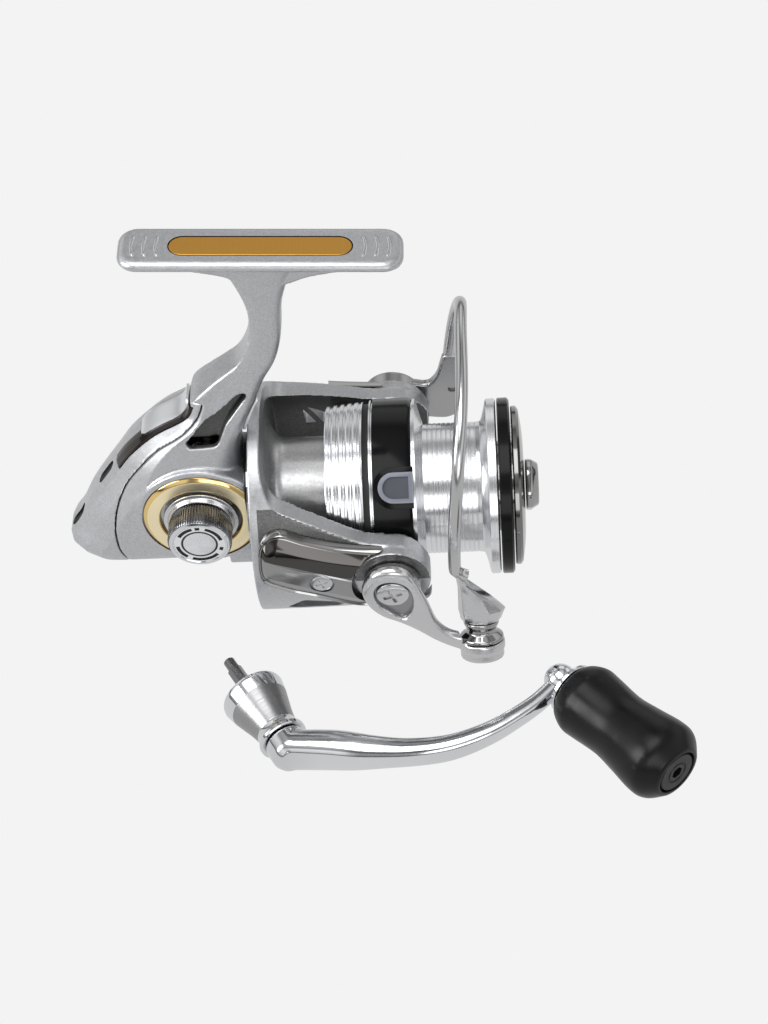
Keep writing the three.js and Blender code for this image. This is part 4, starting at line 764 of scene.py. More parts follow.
def body_housing():
    room = housing_skin("room", BODY.wall, ROOM_LOW, ROOM_HIGH, 3, 12)
    near = -BODY.half
    shell = combine(housing_skin("body_housing"), room, tail_region(BODY.seam), side_region(0))
    flange = ring("flange", FLANGE.radius, FLANGE.radius - FLANGE.wall, -BODY.front - FLANGE.length,
                  -BODY.front)
    flange = common(flange, block("sides", (-FAR, near + GAP, -FAR), (0, BODY.half - SIDE.seat, FAR)))
    seat = CAP_RING.outer + GAP
    raised = lathe("raised", [(0, 0), (0, seat + CAP_RING.rim)] + [
        (BODY.half + CAP_RING.rim_rise * sin(pi / 2 * k / 6),
         seat + CAP_RING.rim * cos(pi / 2 * k / 6)) for k in range(7)] + [(BODY.half, 0)])
    raised = common(on_axle(raised),
                    block("rim_side", (-FAR, -FAR, -FAR), (-BODY.front, -CAP_RING.root, FAR)))
    pocket = prism("pocket", fillet(scaled(POCKET, BODY.reach, BODY.rise), POCKET_SOFT),
                   -BODY.half * 2, -BODY.wall)
    combine(pocket, housing_skin("floor", POCKET_DEPTH, 0, 1, 3, 12))
    plate, fairing = foot_plate(), foot_fairing()
    for part in (plate, fairing):
        part.data.transform(DRIVE.inverted())
    combine(shell, pocket)
    whole = heap(shell, flange, raised, plate, fairing)
    cast(whole, VOXEL.body, 3)
    ring_seat = on_axle(rod("ring_seat", seat, BODY.half - GAP, BODY.half * 2))
    bearing_seat = on_axle(rod("bearing_seat", AXLE.seat, BODY.half - AXLE.seat_depth, BODY.half * 2))
    shaft_way = on_axle(rod("shaft_way", AXLE.way, 0, BODY.half * 2))
    front_bore = rod("front_bore", FLANGE.bore, -BODY.front - FLANGE.length * 2, 0)
    combine(whole, ring_seat, bearing_seat, shaft_way, front_bore)
    # The walls and floor of the label recess take black as painted shade in the gap round the label
    recess = prism("recess", stadium(LABEL.length + 2 * LABEL.gap, LABEL.width + 2 * LABEL.gap),
                   -LABEL.depth, FOOT.edge, "xy")
    recess.data.transform(DRIVE.inverted())
    whole.data.materials.append(SATIN)
    combine(whole, recess, finish=SLOT_SHADE)
    hollow = [Vector((x * BODY.reach, z * BODY.rise)) for x, z in POCKET]
    centre = sum(hollow, Vector((0, 0))) / len(hollow)
    grown = [centre + (p - centre) * 1.12 for p in hollow]
    # Painted shade: a darker satin in the pocket on the near side, and on top of the neck round the flange
    paint(whole, SATIN_SHADE,
          lambda c, n: c.y < 0 and inside((c.x, c.z), grown) and abs(c.y) < half_width(c.z) - GAP * 2)
    neck = -BODY.front - FLANGE.length / 2
    paint(whole, SATIN_SHADE, lambda c, n: c.x > neck and c.z > 0 and radial(c) < FLANGE.radius + GAP)
    return place(whole, DRIVE, SATIN, "housing", ["body_housing"], "satin_silver", 50)


def half_width(z):
    share = z / BODY.rise
    for (h0, _, _, w0), (h1, _, _, w1) in zip(SLICES, SLICES[1:]):
        if h0 <= share <= h1:
            return (w0 + (w1 - w0) * (share - h0) / (h1 - h0)) * BODY.half
    return 0


def inside(point, outline):
    x, y = point
    hit = False
    for i, a in enumerate(outline):
        b = outline[i - 1]
        if (a[1] > y) != (b[1] > y) and x < (b[0] - a[0]) * (y - a[1]) / (b[1] - a[1]) + a[0]:
            hit = not hit
    return hit


def foot_ridges():
    for side in (-1, 1):
        for i in range(RIDGE.count):
            x = RIDGE.first + i * RIDGE.step
            path = []
            for k in range(9):
                share = k / 4 - 1
                path.append(Vector((side * (x + RIDGE.bow * (1 - share ** 2)), share * RIDGE.half,
                                    -RIDGE.sink)))
            radii = [RIDGE.radius * (0.35 if k in (0, 8) else 1) for k in range(9)]
            name = f"foot_ridge_{'rear' if side < 0 else 'front'}_{i + 1}"
            # The ridges take the lighter turned metal in place of the satin paint, as a painted highlight
            place(sweep(name, path, radii, 16, side=(0, 0, 1)), ROW, TURNED, "housing", slot="satin_silver")


def foot_label():
    rings = []
    for height, inset in ((-0.95, 0), (-0.3, 0), (-0.1, 0.05), (0, 0.2), (0, 0.6), (0, 1.4)):
        pull = inset * LABEL.gap * 2
        plan = stadium(LABEL.length - 2 * pull, LABEL.width - 2 * pull)
        rings.append([(x, y, height * LABEL.depth) for x, y in plan])
    place(loft("foot_label_plate", rings), ROW, AMBER, "housing", ["foot_label"], "amber_label")


# The gloss strip on the near half of the spine, from the top down, and the dark slots beside it
STRIP = [(-0.3, 0.537), (-0.345, 0.48), (-0.5, 0.415), (-0.632, 0.325), (-0.695, 0.255)]
STRIP_EDGE = Sizes(near=5.2, far=0.8, depth=5, lift=0.4, thickness=0.9, room=0.03, tuck=0.02, bevel=0.15)
SLOTS = [(0.224, 0.134), (0.013, -0.082)]
TAB = Sizes(high=0.54, low=0.385, half=3.5, lift=0.9, soft=1.4)


def strip_layer(name, lift, depth, room):
    line = scaled(STRIP, BODY.reach, BODY.rise)
    inner = [(x + STRIP_EDGE.depth + room, z - STRIP_EDGE.depth / 2) for x, z in line]
    top, low = line[0][1] + room, line[-1][1] - room
    inner[0], inner[-1] = (inner[0][0], top), (inner[-1][0], low)
    zone = prism("zone", [(-FAR, top)] + inner + [(-FAR, low)], -STRIP_EDGE.near - room,
                 -STRIP_EDGE.far + room)
    layer = common(housing_skin(name, -lift, 0, 1), zone)
    return combine(layer, housing_skin("under", depth, -1, 1))


def rear_cover():
    room = housing_skin("room", BODY.wall, ROOM_LOW, ROOM_HIGH, 3, 12)
    cover = common(housing_skin("rear_cover_shell"), tail_region(0))
    groove = strip_layer("groove", OVER, STRIP_EDGE.thickness - STRIP_EDGE.lift + GAP, GAP)
    combine(cover, room)
    cast(cover, VOXEL.cover, 4)
    combine(cover, groove)
    cover.data.materials.append(SATIN)
    # The shallow slots are painted black inside as painted shade
    for high, low in SLOTS:
        middle, half = (high + low) / 2 * BODY.rise, (high - low) / 2 * BODY.rise
        outline = [(y - STRIP_EDGE.near * 0.26, middle + z) for z,
                   y in stadium(half * 2, STRIP_EDGE.near * 0.55)]
        slot = prism("slot", outline, -FAR, 0, "yz")
        slot = combine(slot, housing_skin("under", GAP * 2, -1, 1))
        combine(cover, slot, finish=SLOT_SHADE)
    place(cover, DRIVE, SATIN, "housing", ["rear_cover"], "satin_silver", 50)


def rear_strip():
    lift, tuck = STRIP_EDGE.lift, STRIP_EDGE.tuck
    strip = strip_layer("rear_strip_gloss", lift - tuck, STRIP_EDGE.thickness - lift - tuck,
                        -STRIP_EDGE.room)
    round_edges(strip, STRIP_EDGE.bevel)
    place(strip, DRIVE, DARK_GLOSS, "housing", ["rear_strip"], "dark_gloss", 50)


def rear_tab():
    """A light saddle that lies across the spine and the upper half of the strip."""
    low, high = TAB.low * BODY.rise, TAB.high * BODY.rise
    outline = fillet([(-TAB.half, low), (TAB.half, low), (TAB.half, high), (-TAB.half, high)], TAB.soft)
    tab = common(housing_skin("rear_tab_saddle", -TAB.lift, 0, 1), prism("zone", outline, -FAR, 0, "yz"))
    combine(tab, housing_skin("under", -TAB.lift / 3, 0, 1))
    round_edges(tab)
    place(tab, DRIVE, CAP_WHITE, "housing", slot="satin_silver", angle=50)


def side_cover():
    cover = common(housing_skin("side_cover_shell"), side_region(GAP))
    holes = []
    for x, z in ((-0.16, -0.09), (-0.16, 0.33), (-0.56, 0.16)):
        well = rod("well", SIDE.well, -BODY.half * 2, -BODY.half + OVER / 2)
        well.data.transform(Matrix.Translation((x * BODY.reach, 0, z * BODY.rise))
                            @ Matrix.Rotation(-pi / 2, 4, "Z"))
        holes.append(well)
    way = on_axle(rod("way", AXLE.way, -BODY.half * 2, 0))
    combine(cover, tail_region(GAP), way, *holes)
    cast(cover, VOXEL.cover, 2)
    place(cover, DRIVE, SATIN, "housing", ["side_cover"], "satin_silver", 50)


def cap_parts():
    """Gold ring and collar, turned about the drive axle, with distances from the middle of the body."""
    near = BODY.half
    outer, hole, depth = CAP_RING.outer, CAP_RING.hole, CAP_RING.depth
    profile = fillet([(near, outer), (near + depth * 0.35, outer), (near + depth, outer - CAP_RING.ease),
                      (near + depth, hole + FINE), (near + depth * 0.6, hole), (near, hole)], GAP)
    gold = on_axle(lathe("gold_ring_band", profile, 192))
    trim = block("trim", (-BODY.front, -FAR, -FAR), (FAR, FAR, FAR))
    combine(gold, trim)
    gold.data.materials.append(GOLD)
    paint(gold, GOLD_FLAT, lambda c, n: n.y < -0.97)
    place(gold, DRIVE, GOLD, "housing", ["gold_ring"], "gold", 30)
    step = (COLLAR.radius - COLLAR.bore) / 4
    out = near + COLLAR.depth
    ledge = out - COLLAR.ledge
    profile = fillet([(near, COLLAR.radius), (ledge, COLLAR.radius), (ledge, COLLAR.radius - step * 0.7),
                      (out, COLLAR.radius - step), (out, COLLAR.bore), (near, COLLAR.bore)], FINE)
    place(lathe("bearing_collar_ring", profile), ON_AXLE, TURNED, "housing", ["bearing_collar"],
          "turned_aluminium", 30)


# Levels of the cap's grip from its back, each with how far it is grown or drawn in
GRIP_LEVELS = [(0, -0.25), (0.35, 0), (CAP.length - 0.9, 0), (CAP.length - 0.55, -0.22)]


def dust_cap():
    base = BODY.half + COLLAR.depth + GAP
    top = base + CAP.length
    count = CAP.teeth * 4
    root = CAP.radius - CAP.tooth
    rings = []
    for along, grow in GRIP_LEVELS:
        ring_points = []
        for i in range(count):
            turn = tau * i / count
            radius = (CAP.radius if i % 4 in (1, 2) else root) + grow
            ring_points.append((base + along, radius * cos(turn), radius * sin(turn)))
        rings.append(ring_points)
    grip = loft("dust_cap_grip", rings)
    tooth = CAP.tooth
    floor, low, rim = top - CAP.dish / 2, top - CAP.dish * 1.2, CAP.radius - tooth * 1.5
    inner, outer, disc = CAP_ARCS.inner, CAP_ARCS.outer, CAP_ARCS.disc
    profile = [(low, 0), (low, rim)] + fillet([
        (top - tooth, rim), (top, rim - tooth * 2), (top, outer + tooth * 2), (floor, outer + tooth),
        (floor, disc + tooth * 2), (low + tooth, disc + tooth * 1.5), (low + tooth, disc + tooth / 2),
        (top - tooth, disc)], HAIR, closed=False) + [(top - tooth, 0)]
    face = lathe("dust_cap_face", profile, 192)
    face.data.materials.append(CAP_WHITE)
    # The recessed arcs and the groove round the disc are painted black inside as painted shade
    for start, end in CAP_ARCS.spans:
        turns = [radians(start + (end - start) * k / 12) for k in range(13)]
        outline = [(outer * cos(t), outer * sin(t)) for t in turns]
        outline += [(inner * cos(t), inner * sin(t)) for t in turns[::-1]]
        combine(face, prism("arc", outline, low + tooth / 2, top + OVER / 2, "yz"), finish=SLOT_SHADE)
    paint(face, SLOT_SHADE, lambda c, n: disc < radial(c) < disc + tooth * 2 and c.x < top - tooth)
    paint(face, CAP_DISC, lambda c, n: radial(c) < disc and n.x > 0.9)
    paint(face, HANDLE_CHROME, lambda c, n: radial(c) > outer + tooth)
    place(grip, ON_AXLE, KNURL, "cap", ["dust_cap"], "turned_aluminium", 25)
    place(face, ON_AXLE, CAP_WHITE, "cap", slot="turned_aluminium", angle=25)
    stem = rod("dust_cap_stem", CAP.stem, base - CAP.stem_length, base + BEVEL, 48)
    place(stem, ON_AXLE, STEEL, "cap", slot="turned_aluminium")


body_housing()
foot_ridges()
foot_label()
rear_cover()
rear_strip()
rear_tab()
side_cover()
cap_parts()
dust_cap()


# Rotor and its covers
SADDLE_SOFT = 3
OPENING_SOFT = Sizes(window=1.2, strut=0.4)
WINDOW = [(0.15, -0.76), (0.37, -0.5), (0.8, -0.6), (0.86, -0.7), (0.78, -0.79), (0.3, -0.83)]
STRUT = [[(0.36, 0.36), (0.59, 0.18), (0.58, 0.02), (0.5, 0.02)], [(0.31, 0.3), (0.43, 0.02), (0.32, 0.02)]]
COVER_LINE = [
    (-0.041, 0.333), (-0.01, 0.42), (0.047, 0.463), (0.12, 0.47), (0.246, 0.417), (0.422, 0.36),
    (0.596, 0.327),
    (0.77, 0.307), (0.9, 0.253), (0.974, 0.143), (1, -0.017), (0.985, -0.227), (0.86, -0.31), (0.67, -0.327),
    (0.536, -0.333), (0.295, -0.17), (0.145, -0.087), (-0.013, 0.033), (-0.047, 0.143),
]
COVER_RIDGE = [(0.06, 0.27), (0.96, -0.02)]
COVER_EDGE = 0.63
COVER_RISE = [(0, 0.02), (0, 0.5), (0.03, 0.66), (0.08, 0.7), (0.12, 0.56), (0.16, 0.56), (0.42, 0.93),
              (0.5, 1), (1, 1)]


def circle(radius, count, centre=(0, 0)):
    turns = [tau * i / count for i in range(count)]
    return [(centre[0] + radius * cos(t), centre[1] + radius * sin(t)) for t in turns]


def saddle_outline():
    back, rim = -ROTOR.back - OVER, -ROTOR.back + ROTOR.plate
    wide = ROTOR.outer + OVER
    low, length = -ARM.low_waist, ARM.low_length
    front = [(PIVOT.ahead + PIVOT.radius * cos(t), PIVOT.radius * sin(t))
             for t in (radians(75 - 10 * i) for i in range(16))]
    step = ARM.step
    outline = [(back, wide), (rim, wide), (rim, ARM.base + step * 2), (rim + step, ARM.base - step / 2),
               (ARM.length / 2, (ARM.base + ARM.waist) / 2), (ARM.length, ARM.waist)]
    outline += front
    outline += [(length + step, low + step), (length - step, low), (length / 2, (-ARM.low_base + low) / 2),
                (rim + step, -ARM.low_base), (rim, -ARM.base - step * 2), (rim, -wide), (back, -wide)]
    return fillet(outline, SADDLE_SOFT)


def across(piece, at):
    """Turns a lathed piece so that it runs across the reel through a place, towards the far side."""
    piece.data.transform(Matrix.Translation(at) @ Matrix.Rotation(pi / 2, 4, "Z"))
    return piece


def about_pivot(piece):
    return across(piece, PIVOT_AT)


def cover_screw_at(side):
    return Vector((COVER_SCREW.ahead if side < 0 else COVER_SCREW.far_ahead, 0, COVER_SCREW.up))


def rotor():
    rim = -ROTOR.back + ROTOR.plate
    sides = common(ring("rotor_head", ROTOR.outer, ROTOR.inner, -ROTOR.back, ROTOR.front, 240),
                   prism("saddle", saddle_outline(), -FAR, FAR))
    blank = rod("blank", ROTOR.inner, rim - OVER, ROTOR.front + OVER, 240)
    bosses = []
    for low, high in ((-PIVOT.face, -ROTOR.inner / 2), (ROTOR.inner / 2, PIVOT.face)):
        bosses.append(combine(about_pivot(rod("boss", PIVOT.radius - GAP, low, high)), blank.copy()))
    bpy.data.objects.remove(blank)
    base = ring("base", ROTOR.inner + GAP, DRUM.inner, -ROTOR.back, rim, 240)
    flare = [(rim - GAP + (DRUM.flare + GAP) * k / 8,
              DRUM.radius + DRUM.flare * (1 - sin(pi / 2 * k / 8)) ** 1.6) for k in range(9)]
    front, under = DRUM.front, DRUM.front - DRUM.cap
    end = [(DRUM.flare + rim, DRUM.radius), (front, DRUM.radius), (front, DRUM.hub), (under, DRUM.hub),
           (under, DRUM.inner)]
    profile = [(rim - GAP, DRUM.inner)] + flare + fillet(end, DRUM.soft, closed=False)
    barrel = lathe("barrel", profile, 192)
    whole = cast(heap(sides, base, barrel, *bosses), VOXEL.rotor, 3)
    outline = fillet(scaled(WINDOW, ARM.low_length, ARM.low_base), OPENING_SOFT.window)
    window = prism("window", outline, -FAR, FAR)
    recess = ring("recess", ROTOR.recess, DRUM.inner - GAP, -ROTOR.back - OVER, -ROTOR.back + ROTOR.sunk)
    wells = []
    for shares in STRUT:
        outline = fillet(scaled(shares, ARM.length, ARM.base), OPENING_SOFT.strut)
        wells.append(prism("opening", outline, 0, FAR))
    for side in (-1, 1):
        low, high = sorted((side * (ROTOR.outer + OVER), side * (ROTOR.inner + GAP)))
        wells.append(across(rod("well", COVER_SCREW.well, low, high, 32), cover_screw_at(side)))
        low, high = sorted((side * (PIVOT.face + OVER), side * (ROTOR.inner + GAP)))
        wells.append(about_pivot(rod("pin_way", BAIL.pin_way, low, high, 32)))
    combine(whole, window, recess, *wells)
    whole.data.materials.append(SATIN)
    inner, drum = ROTOR.inner + OPENING_SOFT.strut, DRUM.radius + DRUM.cap
    # Painted shade on the inward faces of the cup between drum and arms, and painted shadow on the upper
    # near outer face
    paint(whole, SATIN_SHADE, lambda c, n: c.x > rim and drum < radial(c) < inner and outwards(c, n) < -0.6)
    outer, high, start = ROTOR.outer - GAP, COVER.reach * 0.6, rim - OVER / 2
    paint(whole, ROTOR_SHADOW, lambda c, n: c.y < 0 < c.z < high and c.x > start and radial(c) > outer
          and outwards(c, n) > 0.96)
    edge, foot = DRUM.radius + DRUM.flare + HAIR, rim - GAP / 2
    paint(whole, DRUM_PAINT, lambda c, n: radial(c) < edge and c.x > foot)
    return place(whole, DRIVE, SATIN, "rotor_head", ["rotor"], "satin_silver", 45)


def arm_cover(side):
    line = smooth_loop(scaled(COVER_LINE, ROTOR.front, COVER.reach), 8)
    first, last = (Vector((x * PIVOT.ahead, z * COVER.reach)) for x, z in COVER_RIDGE)
    rings = []
    for share, rise in COVER_RISE:
        radius = COVER.inner + (COVER.outer - COVER.inner) * rise
        points = []
        for point in line:
            along = (point - first).dot(last - first) / (last - first).length_squared
            near = first + (last - first) * min(1, max(0, along))
            x, z = point + (near - point) * share * 0.97
            points.append((x, side * sqrt(radius ** 2 - z ** 2), z))
        rings.append(points)
    name = "near" if side < 0 else "far"
    cover = loft(f"arm_cover_{name}_shell", rings)
    low, high = sorted((side * FAR, side * ROTOR.inner))
    hole = about_pivot(rod("hole", PIVOT.radius + GAP, low, high))
    top = side * (COVER.outer - COVER_SCREW.depth)
    low, high = sorted((side * FAR, top))
    well = across(rod("well", COVER_SCREW.head + GAP, low, high, 64), cover_screw_at(side))
    combine(cover, hole, well)
    if side > 0:
        back = COVER_SCREW.far_ahead - COVER_SCREW.head - GAP * 2
        combine(cover, block("behind", (-FAR, 0, -FAR), (back, FAR, FAR)))
    cover.data.materials.append(DARK_CHROME)
    edge = COVER.inner + (COVER.outer - COVER.inner) * COVER_EDGE

    def above(c):
        return c.z - first.y - (c.x - first.x) * (last.y - first.y) / (last.x - first.x)

    # The chrome is painted in copies by where a face lies: a near-black copy above the ridge line as a
    # painted dark reflection, and a rougher grey copy below it
    paint(cover, COVER_GREY, lambda c, n: above(c) < 0 and radial(c) > edge)
    paint(cover, COVER_DARK_REFLECTION, lambda c, n: above(c) >= 0 and radial(c) > edge)
    place(cover, DRIVE, DARK_CHROME, "rotor_head", [f"arm_cover_{name}"], "dark_chrome", 28)


def cross_screw(name, side, at, head, shank, end, low, high):
    """A domed head with a cross recess on a shank from end, its axis across the reel."""
    depth = high - low
    profile = [(end, 0), (end, shank), (low, shank), (low, head)]
    for k in range(8):
        turn = pi / 2 * k / 8
        profile.append((low + depth * (0.45 + 0.55 * sin(turn)), head * cos(turn) ** 0.6))
    screw = lathe(f"{name}_head", profile + [(high, 0)], 96)
    long, narrow = head * 0.6, head * 0.13
    for a, b in ((long, narrow), (narrow, long)):
        combine(screw, block("slot", (high - depth * 0.75, -a, -b), (high + OVER / 2, a, b)))
    turn = Matrix.Rotation(pi / 2 * side, 4, "Z")
    screw.data.transform(Matrix.Translation(at) @ turn @ Matrix.Rotation(SCREW_TURN, 4, "X"))
    place(screw, DRIVE, SCREW_STEEL, "rotor_head", [name], "steel", 35)


def screws():
    for side, name in ((-1, "near"), (1, "far")):
        low = COVER.outer - COVER_SCREW.depth + HAIR / 2
        cross_screw(f"cover_screw_{name}", side, cover_screw_at(side), COVER_SCREW.head, COVER_SCREW.shank,
                    low - COVER_SCREW.end, low, COVER.outer - GAP)
        low = BAIL.outer - BAIL.well_depth + GAP
        cross_screw(f"bail_screw_{name}", side, PIVOT_AT, BAIL_SCREW.head, BAIL_SCREW.shank,
                    PIVOT.face - BAIL_SCREW.depth + GAP, low, low + BAIL_SCREW.depth)


# Bail, its wire and the line roller
BAIL_LINE = [
    (0.317, 0.039), (0.405, -0.261), (0.478, -0.543), (0.58, -0.715), (0.698, -0.804), (0.873, -0.853),
    (1.02, -0.86), (1.06, -0.97), (1, -1.1), (0.86, -1.11), (0.66, -1.02), (0.449, -0.87), (0.249, -0.68),
    (0.044, -0.52), (-0.141, -0.405), (-0.288, -0.222), (-0.356, 0.03), (-0.268, 0.27), (-0.127, 0.385),
    (0.063, 0.4), (0.21, 0.295),
]
ARM_WELL = [
    (-0.21, 0.049), (-0.146, 0.187), (-0.02, 0.232), (0.112, 0.187), (0.2, 0.069),
    (0.229, -0.123), (0.19, -0.335), (0.093, -0.434), (-0.059, -0.306), (-0.176, -0.153),
]
LEVER_LINE = [
    (0.22, 0.32), (0.56, 0.33), (0.66, 0.38), (0.77, 0.56), (0.85, 0.87), (0.9, 1.01), (1.03, 1.06),
    (1.14, 1), (1.19, 0.58), (1.19, 0), (1.13, -0.36), (0.93, -0.54), (0.56, -0.51), (0.1, -0.43),
]
CONE_RINGS = [
    (0, 0, 0, 0.86, 0.8, 0), (-0.06, 0.22, 0.33, 1, 0.8, 0), (0.2, 0.55, 1, 0.86, 0.62, 30),
    (0.8, 0.86, 1, 0.5, 0.49, 53), (1, 1, 0.67, 0.42, 0.44, 53),
]
CONE = Sizes(base=4.9, belly=5.7, rise=16.4, back=5, inward=0.3, bevel=0.35)
WIRE_LINE = [
    (0.919, -0.901, 0.072), (0.921, -0.913, 0.317), (0.95, -0.832, 0.633), (0.967, -0.683, 0.824),
    (0.99, -0.404, 0.95),
    (0.996, -0.062, 0.995), (0.994, 0.28, 1), (0.998, 0.528, 0.982), (1, 0.776, 0.905),
    (0.977, 0.932, 0.747),
    (0.948, 0.988, 0.566), (0.923, 1, 0.345),
]
TIP = 2.2

# Eased edges as how far the outline is drawn in and how high that is, for the arm from its back or its face
ARM_EASE = [(0.5, 0, True), (0, -0.5, True), (0, 1.3, False), (0.25, 0.6, False), (0.8, 0.15, False),
            (1.4, 0, False)]
WELL_EASE = [(-0.35, -1), (-0.3, -0.1), (0, 0.3)]
LEVER_EASE = [(0.5, 0, True), (0, 0.5, True), (0, -1, False), (0.4, -0.4, False), (1.3, 0, False)]
DIMPLE = Sizes(radius=1.1, depth=0.7, share=1.02, rise=0.2)
PIN_HOLE = Sizes(radius=1.5, reach=8)
HOOK = [Vector((2.6, 0.2, -3)), Vector((1.2, 0.15, -2.2)), Vector((0.3, 0.1, -1.1))]


def on_roller(piece, low=0.0):
    piece.data.transform(DRIVE.inverted() @ ON_ROLLER @ Matrix.Translation((low, 0, 0)))
    return piece


def about_arm(shares, per_side=8):
    reach = ROLLER.ahead - PIVOT.ahead
    return smooth_loop([(PIVOT.ahead + x * reach, z * ROLLER.down * 1.12) for x, z in shares], per_side)


def bail_arm():
    line = about_arm(BAIL_LINE)
    out, inner = -BAIL.outer, -BAIL.inner
    levels = [(pull, (inner if at_back else out) + up) for pull, up, at_back in ARM_EASE]
    arm = plated("bail_arm_plate", line, levels)
    disc = about_pivot(rod("disc", BAIL.disc - GAP * 2, inner - OVER / 2, -PIVOT.face - GAP, 160))
    under = -ROLLER.half - GAP
    edge = ROLLER.rim + GAP
    profile = [(-TIP, 0)] + fillet([(-TIP, edge), (0, edge), (0, 0)], SOFT, closed=False)
    tip = on_roller(lathe("tip", profile, 96), under)
    web = on_roller(rod("web", ROLLER.rim, -TIP * 2, -TIP + GAP, 96), under)
    room = on_roller(rod("room", ROLLER.rim + GAP * 2, GAP, ROLLER.half * 4, 96), under)
    combine(cast(arm, VOXEL.bail, 2), room)
    whole = cast(heap(arm, disc, tip, web), VOXEL.bail, 9, 0.6)
    well_line = about_arm(ARM_WELL, 10)
    floor = out + BAIL.well_depth
    well = plated("well", well_line, [(pull, out + up) for pull, up in WELL_EASE] + [(HAIR, floor)])
    hole = about_pivot(rod("hole", BAIL.pin_way, out - OVER, 0, 48))
    pin_hole = on_roller(rod("pin_hole", PIN_HOLE.radius, -PIN_HOLE.reach, OVER, 32), under)
    combine(whole, well, hole, pin_hole)
    whole.data.materials.append(BAIL_PAINT)
    grown = [tuple(p) for p in inset(well_line, -STRIP_EDGE.tuck)]
    paint(whole, RECESS, lambda c, n: floor - GAP / 2 < c.y < floor + HAIR and inside((c.x, c.z), grown))
    place(whole, DRIVE, BAIL_PAINT, "bail", ["bail_arm"], "bail_metal", 40)


def bail_lever():
    x, _, z = WIRE_LINE[-1]
    reach, rise = x * WIRE.ahead - PIVOT.ahead, z * WIRE.rise - GAP
    line = smooth_loop([(PIVOT.ahead + along * reach, up * rise * 0.94) for along, up in LEVER_LINE], 8)
    inner, out = BAIL.inner, BAIL.outer
    lever = plated("bail_lever_plate", line,
                   [(pull, (inner if at_back else out) + up) for pull, up, at_back in LEVER_EASE])
    back = PIVOT.face + GAP
    profile = [(back, 0)] + fillet([(back, BAIL.disc), (out, BAIL.disc), (out, 0)], SOFT, closed=False)
    disc = about_pivot(lathe("disc", profile, 160))
    whole = cast(heap(lever, disc), VOXEL.bail, 8, 0.6)
    well = about_pivot(rod("well", BAIL.well, out - BAIL.well_depth, out + OVER))
    hole = about_pivot(rod("hole", BAIL.pin_way, 0, out + OVER, 48))
    at = Vector((PIVOT.ahead + reach * DIMPLE.share, 0, rise * DIMPLE.rise))
    dimple = across(rod("dimple", DIMPLE.radius, inner - OVER / 2, inner + DIMPLE.depth, 32), at)
    combine(whole, well, hole, dimple)
    place(whole, DRIVE, LEVER_METAL, "bail", ["bail_lever"], "bail_metal", 40)


def bail_cone():
    """A faceted cone: its rings are turned so that flat faces look outwards."""
    base = ROLLER_AT + ROLLER_AXIS * (ROLLER.half + GAP)
    inward = Vector((0, 1, -0.4)).normalized()
    rings = []
    for back, up, shift, width, depth, lean in CONE_RINGS:
        turn = radians(lean)
        across = Vector((cos(turn), 0, -sin(turn)))
        centre = base + Vector((-back * CONE.back, shift * CONE.inward, up * CONE.rise))
        rings.append(oval(centre, across * width * CONE.belly, inward * depth * CONE.base, 10))
    cone = loft("bail_cone_skin", rings)
    round_edges(cone, CONE.bevel, 3, 12)
    place(cone, DRIVE, BAIL_PAINT, "bail", ["bail_cone"], "bail_metal", 24)


def bail_wire():
    """The rod runs smoothly over the spool and ends in a hook inside the cone."""
    path = smooth_loop([(x * WIRE.ahead, y * WIRE.side, z * WIRE.rise) for x, y, z in WIRE_LINE], 10,
                       closed=False)
    for _ in range(60):
        path = [path[0]] + [(a + b * 2 + c) / 4 for a, b, c in zip(path, path[1:], path[2:])] + [path[-1]]
    hook = [path[0] + step for step in HOOK]
    path = smooth_loop(hook + path[::6] + [path[-1]], 6, closed=False)
    wire = sweep("bail_wire_rod", path, [WIRE.radius] * len(path), 32)
    place(wire, DRIVE, WIRE_STEEL, "bail", ["bail_wire"], "steel", 60)


def line_roller():
    h, rim = ROLLER.half, ROLLER.rim
    bore, radius = ROLLER.bore, ROLLER.radius
    waist = radius * 0.86
    profile = [(-h, bore)] + fillet([
        (-h, rim), (-h * 0.7, rim), (-h * 0.2, waist), (h * 0.2, waist), (h * 0.7, radius), (h, radius),
        (h, bore)],
        ROLLER.soft, closed=False)
    place(lathe("line_roller_ring", profile, 144), ON_ROLLER, DARK_CHROME, "roller", ["line_roller"],
          angle=30)


rotor()
arm_cover(-1)
arm_cover(1)
screws()
bail_arm()
bail_lever()
bail_cone()
bail_wire()
line_roller()


# Spool, drag and its grip
WEB = Sizes(bore=1.9, hub=7.6, hub_back=29.4, back=33, hollow=48, hollow_radius=14.2, well=11.6,
            well_back=50.7)


